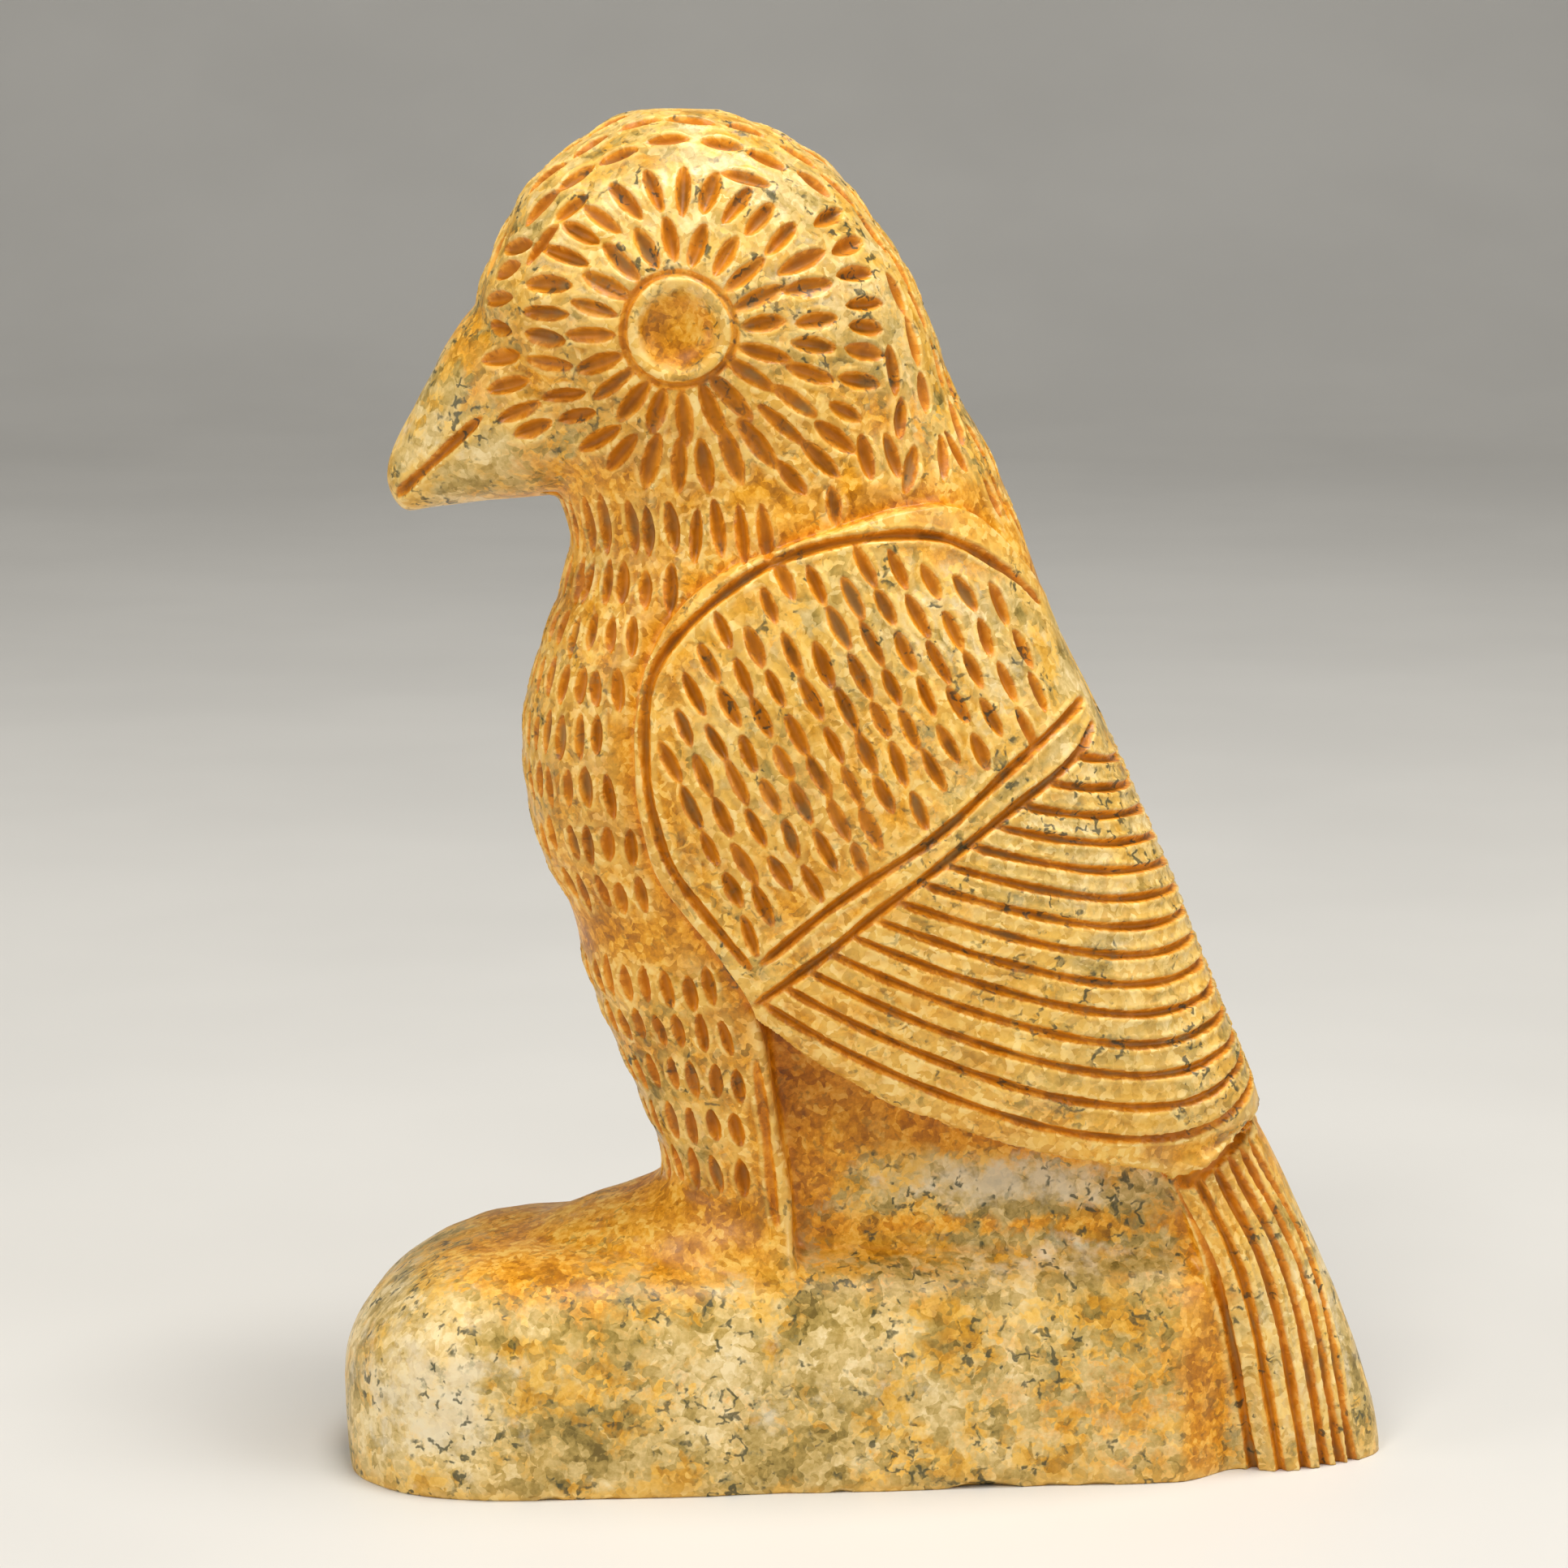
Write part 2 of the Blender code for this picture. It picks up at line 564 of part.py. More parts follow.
def carve_crown(relief):
    """Rows that follow the head's outline from the brow to the nape."""
    centre = fig(*HEAD_CENTRE)
    for row, lean in enumerate(CROWN_LEANS):
        side = math.radians(lean)
        for k in range(CROWN_DASHES):
            angle = math.radians(CROWN_START - CROWN_STEP * (k + 0.5 * (row % 2)))
            out = Vector((math.cos(angle) * math.cos(side), -math.sin(side),
                          math.sin(angle) * math.cos(side)))
            hit = relief.hit(centre, out)
            if hit and eye_distance(hit[0]) > ROSETTE_REACH and not on_wing(hit[0]):
                run = Vector((math.sin(angle), 0, -math.cos(angle)))
                relief.dash(*hit, run)


def carve_rows(relief, rows):
    """Level rows of upright dashes round the body, staggered row by row."""
    for number, (axis_x, z, first, last) in enumerate(rows):
        centre = fig(axis_x, z)
        angle = first + (0.5 * ROW_SPACING if number % 2 else 0.0)
        while angle < last:
            out = Vector((-math.cos(math.radians(angle)), -math.sin(math.radians(angle)), 0))
            hit = relief.hit(centre, out)
            if hit and on_breast_or_legs(hit[0]):
                relief.dash(*hit, Vector((0.1 + NAPE_LEAN * max(out.x, 0), 0, -1)))
            reach = (hit[0] - centre).length / UNIT if hit else ROW_REACH
            angle += ROW_SPACING * ROW_REACH / max(reach, 0.5 * ROW_REACH)


def on_breast_or_legs(place):
    x, z = side_units(place.x, place.z)
    on_head = eye_distance(place) < ROSETTE_REACH + 0.6
    behind_leg = z < LEG_ROWS_BELOW and x > LEG_ROWS_BEHIND
    below_beak = z < BEAK_ROOT[1] or not_beak(place)
    return below_beak and not (on_wing(place) or behind_leg or on_head)


def carve_breast_and_legs(relief):
    rows = [(NECK_AXIS, z, 100, 180) for z in NAPE_HEIGHTS]
    rows += [(NECK_AXIS, z, 0, 180) for z in NECK_HEIGHTS]
    rows += [(BREAST_AXIS, z, 0, 100) for z in BREAST_HEIGHTS]
    rows += [(LEG_AXIS, z, 0, 100) for z in LEG_HEIGHTS]
    carve_rows(relief, rows)


def carve_coverts(relief):
    """Staggered slanting dashes between the wing's border line and the band."""
    area = [tuple(row) for row in catmull_rom(WING_BORDER_LINE, 4)]
    area += [tuple(row) for row in catmull_rom(BAND_UPPER_LINE, 3)][::-1]
    centre = Vector((COVERT_CENTRE[0], 0, COVERT_CENTRE[1]))
    run = Vector((COVERT_RUN[0], 0, COVERT_RUN[1]))
    cross = Vector((-run.z, 0, run.x))
    for row in range(-12, 13):
        for column in range(-14, 15):
            along = COVERT_PITCH * (row + (0.5 if column % 2 else 0.0))
            spot = centre + run * along + cross * (COVERT_GAP * column)
            here = np.array([[spot.x, spot.z]])
            edge = curve_distance(here, area + area[:1])[0]
            if not inside(here, area)[0] or edge < COVERT_MARGIN:
                continue
            hit = relief.from_side(spot.x, spot.z)
            if hit:
                relief.dash(*hit, run)


def between(first, last, share):
    return tuple(a + (b - a) * share for a, b in zip(first, last))


def flight_groove(number):
    """One flight-feather groove: it sags, then turns up at the back edge."""
    share = number / (FLIGHT_GROOVES - 1)
    start = between(FLIGHT_TOP_START, FLIGHT_LOW_START, share ** 0.92)
    end = between(FLIGHT_TOP_END, FLIGHT_LOW_END, share)
    run = end[0] - start[0]
    fall = FLIGHT_FALL_TOP + (FLIGHT_FALL_LOW - FLIGHT_FALL_TOP) * share ** 2.5
    back, down = between(FLIGHT_HOOK_TOP, FLIGHT_HOOK_LOW, share ** 1.5)
    first = (start[0] + 0.32 * run, start[1] - 0.32 * run * fall)
    second = (end[0] - back * run, end[1] - down * run)
    curve = []
    for k in range(13):
        t = k / 12
        a, b, c, d = (1 - t) ** 3, 3 * t * (1 - t) ** 2, 3 * t * t * (1 - t), t ** 3
        curve.append((a * start[0] + b * first[0] + c * second[0] + d * end[0],
                      a * start[1] + b * first[1] + c * second[1] + d * end[1]))
    return curve


def carve_lines(relief):
    for curve in (WING_BORDER_LINE, BAND_UPPER_LINE, BAND_LOWER_LINE, MOUTH_LINE):
        relief.groove(curve)
    relief.groove(LEG_EDGE_LINE, LEG_EDGE_HALF_WIDTH, LEG_EDGE_DEPTH)
    relief.groove(UNDERCUT_LINE, UNDERCUT_HALF_WIDTH, UNDERCUT_DEPTH, onward=True)
    for number in range(FLIGHT_GROOVES):
        relief.groove(flight_groove(number), steps=2, onward=True)
    for share in TAIL_SHARES:
        relief.groove([between(a, b, share) for a, b in zip(TAIL_FIRST, TAIL_LAST)])


def carve_back_seam(relief):
    """A shallow line down the middle of the back, where the wings meet."""
    (top_x, top_z), (low_x, low_z) = BACK_SEAM
    steps = 160
    run = fig(low_x, low_z) - fig(top_x, top_z)
    for k in range(steps):
        share = (k + 0.5) / steps
        inner = fig(top_x + (low_x - top_x) * share - 12.0, top_z + (low_z - top_z) * share)
        hit = relief.hit(inner + Vector((0, -1e-5, 0)), Vector((1, 0, 0)))
        if hit:
            fade = min(1.0, 6 * share, 6 * (1 - share))
            relief.cut(*hit, run, 0.5, 0.9, 0.6 * fade, False)


def mirrored(mesh):
    """Both halves of the carving, joined along the middle plane."""
    bm = bmesh.new()
    bm.from_mesh(mesh)
    for edge in bm.edges:
        if edge.is_boundary:
            for vert in edge.verts:
                vert.co.y = 0.0
    copy = bmesh.ops.duplicate(bm, geom=bm.verts[:] + bm.edges[:] + bm.faces[:])["geom"]
    for item in copy:
        if isinstance(item, bmesh.types.BMVert):
            item.co.y = -item.co.y
    bmesh.ops.reverse_faces(bm, faces=[f for f in copy if isinstance(f, bmesh.types.BMFace)])
    seam = [vert for vert in bm.verts if vert.is_boundary]
    bmesh.ops.remove_doubles(bm, verts=seam, dist=1e-6)
    bm.to_mesh(mesh)
    bm.free()


def thinned(mesh, triangles):
    """The mesh with flat stretches left to few faces."""
    obj = bpy.data.objects.new("thinned", mesh)
    bpy.context.scene.collection.objects.link(obj)
    triangulate = obj.modifiers.new("triangles", 'TRIANGULATE')
    triangulate.keep_custom_normals = False
    ease = obj.modifiers.new("ease", 'SMOOTH')
    ease.factor = 0.5
    ease.iterations = 2
    thin = obj.modifiers.new("thin", 'DECIMATE')
    thin.ratio = triangles / sum(len(face.vertices) - 2 for face in mesh.polygons)
    thin.use_collapse_triangulate = True
    return applied(obj)


def cut_flat(mesh):
    """Cut the underside off flat at the floor and close it."""
    bm = bmesh.new()
    bm.from_mesh(mesh)
    result = bmesh.ops.bisect_plane(bm, geom=bm.verts[:] + bm.edges[:] + bm.faces[:],
                                    plane_co=(0, 0, 0), plane_no=(0, 0, -1), clear_outer=True)
    rim = [item for item in result["geom_cut"] if isinstance(item, bmesh.types.BMEdge)]
    for edge in rim:
        for vert in edge.verts:
            vert.co.z = 0.0
    bmesh.ops.edgenet_fill(bm, edges=rim)
    bmesh.ops.triangulate(bm, faces=[face for face in bm.faces if len(face.verts) > 3])
    bmesh.ops.recalc_face_normals(bm, faces=bm.faces)
    bm.to_mesh(mesh)
    bm.free()


def centred(mesh):
    """Put the origin under the middle of the carving."""
    xs = [vert.co.x for vert in mesh.vertices]
    middle = (min(xs) + max(xs)) / 2
    for vert in mesh.vertices:
        vert.co.x -= middle


def stone_material():
    """Cream soapstone with ochre clouds, here in its mean colour."""
    material = bpy.data.materials.new("stone")
    material.use_nodes = True
    shader = material.node_tree.nodes["Principled BSDF"]
    shader.inputs["Base Color"].default_value = (0.55, 0.36, 0.14, 1.0)
    shader.inputs["Roughness"].default_value = 0.45
    shader.inputs["Metallic"].default_value = 0.0
    return material


def main():
    for old in list(bpy.data.objects):
        bpy.data.objects.remove(old, do_unlink=True)
    mesh = half_of(build_form())
    raise_wing(mesh)
    relief = Relief(mesh)
    carve_eye(relief)
    carve_rosette(relief)
    carve_crown(relief)
    carve_breast_and_legs(relief)
    carve_coverts(relief)
    carve_lines(relief)
    carve_back_seam(relief)
    relief.finish()
    mirrored(mesh)
    mesh = thinned(mesh, TRIANGLES)
    cut_flat(mesh)
    centred(mesh)
    obj = bpy.data.objects.new("stone_bird", mesh)
    obj.data.materials.append(stone_material())
    bpy.context.scene.collection.objects.link(obj)


main()
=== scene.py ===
"""The carved stone bird, dressed: its finer hand-cut relief and its stone.

The form is worked out as in the part's source, on a finer grid. Both sides are
carved with strokes that vary a little. What the cuts and the wear on edges leave on
each vertex then drives one procedural stone, which also carries painted shade, a
painted sheen and painted highlights on the edges.
"""

import math
import random

import bmesh
import bpy
import numpy as np
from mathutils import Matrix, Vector
from mathutils.bvhtree import BVHTree
from mathutils.kdtree import KDTree


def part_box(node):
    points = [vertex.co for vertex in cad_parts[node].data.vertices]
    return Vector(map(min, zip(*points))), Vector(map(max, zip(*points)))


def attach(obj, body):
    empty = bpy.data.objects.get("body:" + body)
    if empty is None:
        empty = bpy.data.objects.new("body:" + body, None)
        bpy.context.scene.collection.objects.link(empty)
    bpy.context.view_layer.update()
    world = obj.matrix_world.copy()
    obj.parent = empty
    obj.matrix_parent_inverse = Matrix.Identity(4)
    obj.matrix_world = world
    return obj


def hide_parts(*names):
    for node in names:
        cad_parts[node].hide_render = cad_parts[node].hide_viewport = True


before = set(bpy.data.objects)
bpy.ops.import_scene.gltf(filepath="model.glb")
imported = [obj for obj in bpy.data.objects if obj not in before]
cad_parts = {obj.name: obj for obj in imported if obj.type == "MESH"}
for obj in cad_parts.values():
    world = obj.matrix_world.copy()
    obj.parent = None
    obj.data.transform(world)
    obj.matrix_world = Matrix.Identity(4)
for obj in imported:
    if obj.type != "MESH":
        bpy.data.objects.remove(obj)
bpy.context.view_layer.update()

# The part's own sizes, in metres
FIGURE_HEIGHT = 0.1075
WEB_WIDTH = 0.0170
BASE_LENGTH = 0.0835
BASE_HEIGHT = 0.0225
BASE_FRONT_WIDTH = 0.0370
BASE_REAR_WIDTH = 0.0250
NOSE_ROUND = 0.0160
TOP_ROUND = 0.0175
FOOT_ROUND = 0.0022
TAPER_START = 0.0200
SLOPE_LENGTH = 0.0300
CHANNEL_WIDTH = 0.0050
CHANNEL_DEPTH = 0.0038
CHANNEL_LIP = 0.0030
BELOW = 0.0020
WAIST_SHARE = 0.36  # where the base is widest, as a share of its height
SLOPE_SHARE = 0.15  # rise of its sloping top, as a share of its height
LIP_SHARE = 0.33  # the part of the channel's lip before the base's end
TOP_SQUARENESS, FOOT_SQUARENESS = 3.4, 9.0

FIGURE_UNITS = 107.5
BASE_TOP_UNITS = 22.5
CHANNEL_X = 33.0
UNIT = FIGURE_HEIGHT / FIGURE_UNITS
BASE_FRONT = CHANNEL_X * UNIT - BASE_LENGTH

VOXEL = 0.00026
SOFTEN = 0.00204  # how far the fused junctions are smoothed
RIDGE_REACH = 0.0011  # reach round a vertex for ridges and creases
TRIANGLES = 190000

# Torso and head: front x, z, back x, z, half width, squareness, widest point
BODY_STATIONS = (
    (-36.6, 20.4, 31.0, 10.0, 14.8, 2.2, 0),
    (-28.2, 24.0, 34.0, 18.0, 13.8, 2.3, 0),
    (-20.8, 26.6, 36.0, 24.0, 12.9, 2.5, 0),
    (-19.3, 29.4, 36.4, 27.0, 13.3, 2.6, 0),
    (-21.0, 34.0, 37.0, 33.6, 14.4, 2.7, -0.05),
    (-21.9, 36.4, 38.2, 36.0, 14.9, 2.7, -0.05),
    (-24.2, 42.0, 35.6, 42.4, 15.8, 2.7, -0.05),
    (-26.6, 48.4, 32.3, 50.4, 16.6, 2.7, 0),
    (-28.0, 54.5, 29.1, 58.4, 17.0, 2.7, 0),
    (-31.0, 60.5, 25.6, 66.3, 17.2, 2.6, 0.05),
    (-32.4, 67.0, 21.9, 74.2, 17.2, 2.6, 0.05),
    (-32.3, 74.0, 18.1, 82.1, 16.8, 2.5, 0.05),
    (-30.7, 80.1, 15.2, 89.9, 15.8, 2.4, 0.05),
    (-28.9, 85.0, 12.0, 97.6, 14.4, 2.3, 0),
    (-27.8, 90.0, 8.6, 103.5, 13.6, 2.3, 0),
    (-29.5, 95.5, 7.1, 108.0, 14.0, 2.3, 0),
    (-33.0, 101.5, 5.6, 111.8, 14.6, 2.3, 0),
    (-35.8, 107.5, 3.9, 115.4, 14.8, 2.3, 0),
    (-36.4, 113.0, 1.7, 118.7, 14.2, 2.3, 0),
    (-33.3, 120.6, -1.0, 122.5, 12.4, 2.2, 0),
    (-30.4, 124.4, -4.1, 125.5, 10.2, 2.1, 0),
    (-25.4, 128.4, -9.0, 128.5, 6.8, 2.0, 0),
    (-21.7, 130.0, -14.3, 130.1, 3.4, 2.0, 0),
)
# Beak: upper x, z, lower x, z, half width
BEAK_STATIONS = (
    (-27.0, 113.0, -22.0, 96.0, 10.5),
    (-35.3, 112.6, -28.5, 94.2, 10.0),
    (-38.6, 109.3, -34.0, 93.5, 7.9),
    (-41.1, 105.3, -38.3, 93.0, 6.0),
    (-43.3, 101.3, -41.6, 92.5, 4.4),
    (-45.0, 97.8, -43.6, 92.3, 3.1),
    (-45.5, 95.6, -44.8, 93.6, 1.4),
)
# Tail: front x, z, back x, z, half width of the flanks and of the back edge
TAIL_STATIONS = (
    (24.0, 36.0, 34.4, 39.0, 12.2, 6.0),
    (26.4, 33.0, 37.2, 34.6, 12.4, 6.2),
    (28.5, 30.0, 39.5, 31.0, 12.6, 6.4),
    (31.5, 21.0, 44.0, 21.0, 12.0, 5.8),
    (33.6, 12.0, 47.9, 12.0, 11.2, 5.2),
    (35.8, 3.5, 50.4, 3.5, 10.4, 4.6),
    (36.8, -2.0, 51.0, -2.0, 10.0, 4.4),
)
# The recess under the wings, in the side view
WING_LOWER_EDGE = ((-10.7, 47.9), (-5.0, 43.6), (2.6, 38.9), (10.2, 35.7), (17.8, 33.6),
                   (25.5, 31.8), (29.5, 30.7), (33.0, 31.4), (36.2, 33.7), (38.6, 35.4),
                   (46.0, 36.4))
LEG_BACK_EDGE = ((-6.2, 14.0), (-6.9, 28.0), (-8.3, 38.0), (-9.5, 44.5))
RECESS_FAR_CORNER = (46.0, 10.0)
RECESS_REACH = 36.0
WEB_OUTLINE = ((-12, 18), (-12, 46), (8, 42), (30, 36), (36, 18))

# Relief, in the figure's own measure; curves are side-view x, z
WING_RAISE, WING_STEP = 1.3, 0.8
GUTTER_DEPTH, GUTTER_WIDTH = 0.35, 2.6
WING_FRONT_EDGE = ((-10.6, 47.4), (-15.6, 54.5), (-19.8, 60.5), (-21.4, 68.0), (-21.2, 76.0),
                   (-19.0, 83.0), (-13.5, 88.2), (-5.0, 91.8), (4.0, 94.3), (9.5, 93.6),
                   (14.0, 89.4), (18.0, 84.0), (26.0, 76.0))
WING_BORDER_LINE = ((-10.7, 51.5), (-15.2, 57.0), (-18.6, 62.3), (-20.3, 70.0), (-19.9, 78.2),
                    (-16.4, 83.6), (-9.5, 88.9), (-1.3, 91.4), (7.0, 91.4), (13.2, 87.9),
                    (16.5, 84.6))
BAND_UPPER_LINE = ((-9.7, 51.9), (-2.4, 58.0), (7.0, 64.4), (13.6, 70.2), (20.6, 75.6))
BAND_LOWER_LINE = ((-10.4, 47.9), (-3.9, 52.7), (1.2, 57.0), (7.0, 61.4), (13.4, 66.2),
                   (19.6, 70.6), (21.6, 73.4))
FLIGHT_GROOVES = 14
FLIGHT_TOP_START, FLIGHT_TOP_END = (19.8, 70.7), (24.6, 69.8)
FLIGHT_LOW_START, FLIGHT_LOW_END = (-9.6, 48.2), (36.9, 38.2)
FLIGHT_FALL_TOP, FLIGHT_FALL_LOW = 0.28, 0.68  # slope at a groove's start
FLIGHT_HOOK_TOP, FLIGHT_HOOK_LOW = (0.22, 0.02), (0.12, 0.20)  # last bend: back, down
UNDERCUT_LINE = ((28.9, 29.6), (30.0, 29.4), (31.4, 29.8), (33.4, 31.2), (35.4, 32.7),
                 (37.2, 33.9))
UNDERCUT_HALF_WIDTH, UNDERCUT_DEPTH = 0.8, 0.6
BACK_SEAM = ((18.0, 84.0), (38.0, 36.5))
TAIL_SHARES = (0.0, 0.25, 0.48, 0.67, 0.82, 0.94)
TAIL_FIRST = ((29.5, 29.4), (34.1, 18.5), (38.1, -1.0))
TAIL_LAST = ((37.6, 32.6), (44.6, 18.5), (48.6, -1.0))
MOUTH_LINE = ((-45.0, 93.2), (-40.0, 98.0), (-35.7, 102.0))
LEG_EDGE_LINE = ((-10.2, 42.0), (-9.4, 36.0), (-8.6, 28.0), (-8.2, 25.0))
LEG_EDGE_HALF_WIDTH, LEG_EDGE_DEPTH = 0.5, 0.35
EYE = (-17.2, 110.6)
EYE_CUP, EYE_CUP_DEPTH = 3.9, 1.7
EYE_CUP_ROUNDING = 3.4
EYE_RING, EYE_RING_WIDTH, EYE_RING_DEPTH = 5.15, 0.42, 0.4
EYE_CREST = 0.25
GROOVE_HALF_WIDTH, GROOVE_DEPTH = 0.50, 0.60
FLIGHT_HALF_WIDTH, FLIGHT_DEPTH = 0.42, 0.52
DASH_HALF_LENGTH, DASH_HALF_WIDTH, DASH_DEPTH = 2.2, 0.68, 0.80
DASH_CLEARANCE, ROSETTE_CLEARANCE = 1.15, 0.95
ROSETTE_HALF_LENGTH, ROSETTE_HALF_WIDTH = 2.55, 0.80
RIM_HEIGHT = 0.20
DASH_RIM, GROOVE_RIM = (1.35, 0.32), (1.45, 0.38)  # place, width in half widths
NEIGHBOUR_REACH = 6        # strokes further apart than this can't meet
ROSETTE_RINGS = ((7.9, 20, 0.2, 0, 360),  # radius, dashes, turn, first and last degree
                 (12.6, 30, 0.4, 0, 360),
                 (16.9, 40, 0.1, 150, 222),
                 (17.3, 42, 0.0, 305, 398))
ROSETTE_REACH = 14.4
CROWN_LEANS = (4, 12, 20, 28, 36, 45)
CROWN_STEP = 12.5
CROWN_HALF_LENGTH, CROWN_HALF_WIDTH = 2.3, 0.74
CROWN_FIRST, CROWN_COUNT = 158, 15  # where its rows start, in degrees
HEAD_CENTRE = (-16.0, 106.0)
BEAK_ROOT, BEAK_LEAN = (-33.0, 94.0), 0.14  # the smooth beak starts at this slanting line
ROW_SPACING, ROW_REACH = 8.6, 15.0  # degrees apart at this distance from the axis
NECK_AXIS, BREAST_AXIS, LEG_AXIS = -8.0, -14.0, -12.5
NAPE_HEIGHTS = (104.0, 99.0, 94.2)
NECK_ROWS = ((91.9, 2.7), (86.6, 2.2))  # height, half length
BREAST_HEIGHTS = (82.0, 77.4, 72.6, 67.6, 62.4, 57.6)
LEG_HEIGHTS = (48.8, 44.4, 39.6, 34.8, 30.0)
NAPE_HALF_LENGTH, BODY_HALF_LENGTH = 2.3, 2.0
LEG_ROWS_BELOW, LEG_ROWS_BEHIND = 48, -11.0
WING_CLEARANCE = 1.2
COVERT_RUN, COVERT_CROSS = Vector((0.42, 0, -0.91)), Vector((0.91, 0, 0.42))
COVERT_MIDDLE = Vector((0, 0, 72))
COVERT_PITCH, COVERT_SPACING, COVERT_MARGIN = 4.5, 2.4, 1.7
STRIP_BOW, STRIP_BOW_WIDTH = 0.2, 1.1
SEAM_DEPTH, SEAM_HALF_WIDTH = 0.6, 0.9
FOUND_FAR = 1e9  # larger than any distance on the carving


def fig(x, z):
    """A point of the figure's middle plane; up to the base's top it follows the base."""
    in_base = min(z / BASE_TOP_UNITS, 1.0) * BASE_HEIGHT
    above = max(z - BASE_TOP_UNITS, 0.0) * UNIT
    return Vector((x * UNIT, 0.0, in_base + above))


def side_units(x, z):
    """The figure's own side-view measure of a place, the inverse of fig."""
    in_base = np.minimum(z / BASE_HEIGHT, 1.0) * BASE_TOP_UNITS
    above = np.maximum(z - BASE_HEIGHT, 0.0) / UNIT
    return x / UNIT, in_base + above


def catmull_rom(rows, steps):
    """Rows of numbers, with smooth rows put between them."""
    rows = [np.array(row, dtype=float) for row in rows]
    padded = [2 * rows[0] - rows[1]] + rows + [2 * rows[-1] - rows[-2]]
    result = []
    for i in range(1, len(padded) - 2):
        before, start, end, after = padded[i - 1:i + 3]
        for k in range(steps):
            t = k / steps
            result.append(0.5 * (2 * start + (end - before) * t
                                 + (2 * before - 5 * start + 4 * end - after) * t * t
                                 + (3 * start - before - 3 * end + after) * t ** 3))
    result.append(rows[-1])
    return result


def smooth_line(rows, steps):
    return [tuple(row) for row in catmull_rom(rows, steps)]


def power(value, exponent):
    return math.copysign(abs(value) ** exponent, value)


def oval(front, back, half_width, squareness=2.0, shift=0.0, count=56):
    """A closed superellipse ring, from the front point to the back one."""
    middle = (front + back) / 2
    reach = front - middle
    ring = []
    for k in range(count):
        angle = math.tau * k / count
        u = power(math.cos(angle), 2 / squareness)
        v = power(math.sin(angle), 2 / squareness)
        ring.append(middle + reach * (u + shift * (1 - u * u)) + Vector((0, half_width * v, 0)))
    return ring


def add_loft(bm, rings):
    """Skin between rings with the same number of points, closed at both ends."""
    loops = [[bm.verts.new(point) for point in ring] for ring in rings]
    count = len(loops[0])
    for low, high in zip(loops, loops[1:]):
        for k in range(count):
            j = (k + 1) % count
            bm.faces.new((low[k], low[j], high[j], high[k]))
    bm.faces.new(tuple(reversed(loops[0])))
    bm.faces.new(tuple(loops[-1]))


def add_slab(bm, outline, y_near, y_far):
    """A middle-plane outline pulled sideways into a closed slab."""
    rings = []
    for y in (y_near, y_far):
        rings.append([point + Vector((0, y, 0)) for point in outline])
    add_loft(bm, rings)


def linked(name, data):
    """A new object of the scene."""
    obj = bpy.data.objects.new(name, data)
    bpy.context.scene.collection.objects.link(obj)
    return obj


def new_object(name, build):
    """An object whose mesh the given function fills through bmesh."""
    mesh = bpy.data.meshes.new(name)
    bm = bmesh.new()
    build(bm)
    bmesh.ops.recalc_face_normals(bm, faces=bm.faces)
    bm.to_mesh(mesh)
    bm.free()
    return linked(name, mesh)


def modifier(obj, kind, **settings):
    added = obj.modifiers.new(kind, kind)
    for name, value in settings.items():
        setattr(added, name, value)


def applied(obj):
    """The object's mesh with its modifiers applied; the object is removed."""
    graph = bpy.context.evaluated_depsgraph_get()
    graph.update()
    mesh = bpy.data.meshes.new_from_object(obj.evaluated_get(graph))
    bpy.data.objects.remove(obj, do_unlink=True)
    return mesh


def build_body(bm):
    rings = []
    for fx, fz, bx, bz, half, square, shift in catmull_rom(BODY_STATIONS, 4):
        rings.append(oval(fig(fx, fz), fig(bx, bz), half * UNIT, square, shift))
    add_loft(bm, rings)


def build_recess(bm):
    """Cutter for both sides; the web wall stays between the legs and the tail."""
    outline = [fig(x, z) for x, z in LEG_BACK_EDGE + WING_LOWER_EDGE + (RECESS_FAR_CORNER,)]
    for side in (-1, 1):
        add_slab(bm, outline, side * WEB_WIDTH / 2, side * RECESS_REACH * UNIT)


def build_beak(bm):
    rings = []
    for ux, uz, lx, lz, half in catmull_rom(BEAK_STATIONS, 4):
        rings.append(oval(fig(ux, uz), fig(lx, lz), half * UNIT, 2.1, -0.15, 32))
    add_loft(bm, rings)


def build_tail(bm):
    """Sections with flat flanks that narrow to a rounded back edge."""
    rings = []
    for fx, fz, bx, bz, wide, narrow in catmull_rom(TAIL_STATIONS, 3):
        front, back = fig(fx, fz), fig(bx, bz)
        ring = []
        for point in oval(front, back, 1.0, 3.4, 0.0, 48):
            share = (point.x - front.x) / (back.x - front.x)
            half = (wide + (narrow - wide) * share ** 1.6) * UNIT
            ring.append(Vector((point.x, point.y * half, point.z)))
        rings.append(ring)
    add_loft(bm, rings)


def rounded(share, length, squareness):
    """A share's climb from 0 to 1 along a rounded end of the given length."""
    left = 1 - min(share / length, 1.0)
    return (1 - left ** squareness) ** (1 / squareness)


def base_section(along):
    """Half width, top and bottom of the base at a distance from its front."""
    taper = min(max((along - TAPER_START) / (BASE_LENGTH - TAPER_START), 0.0), 1.0)
    half = (BASE_FRONT_WIDTH + (BASE_REAR_WIDTH - BASE_FRONT_WIDTH) * taper) / 2
    half *= rounded(along, NOSE_ROUND, 2.3)
    turn = (along - BASE_LENGTH) / CHANNEL_LIP + LIP_SHARE
    half -= CHANNEL_DEPTH * min(max(turn, 0.0), 1.0)
    waist = WAIST_SHARE * BASE_HEIGHT
    slope = SLOPE_SHARE * BASE_HEIGHT * (1 - min(along / SLOPE_LENGTH, 1.0)) ** 2
    top = waist + (BASE_HEIGHT - slope - waist) * rounded(along, TOP_ROUND, 2.2)
    bottom = waist - (waist + BELOW) * rounded(along, FOOT_ROUND, 2.0)
    return half, top, bottom


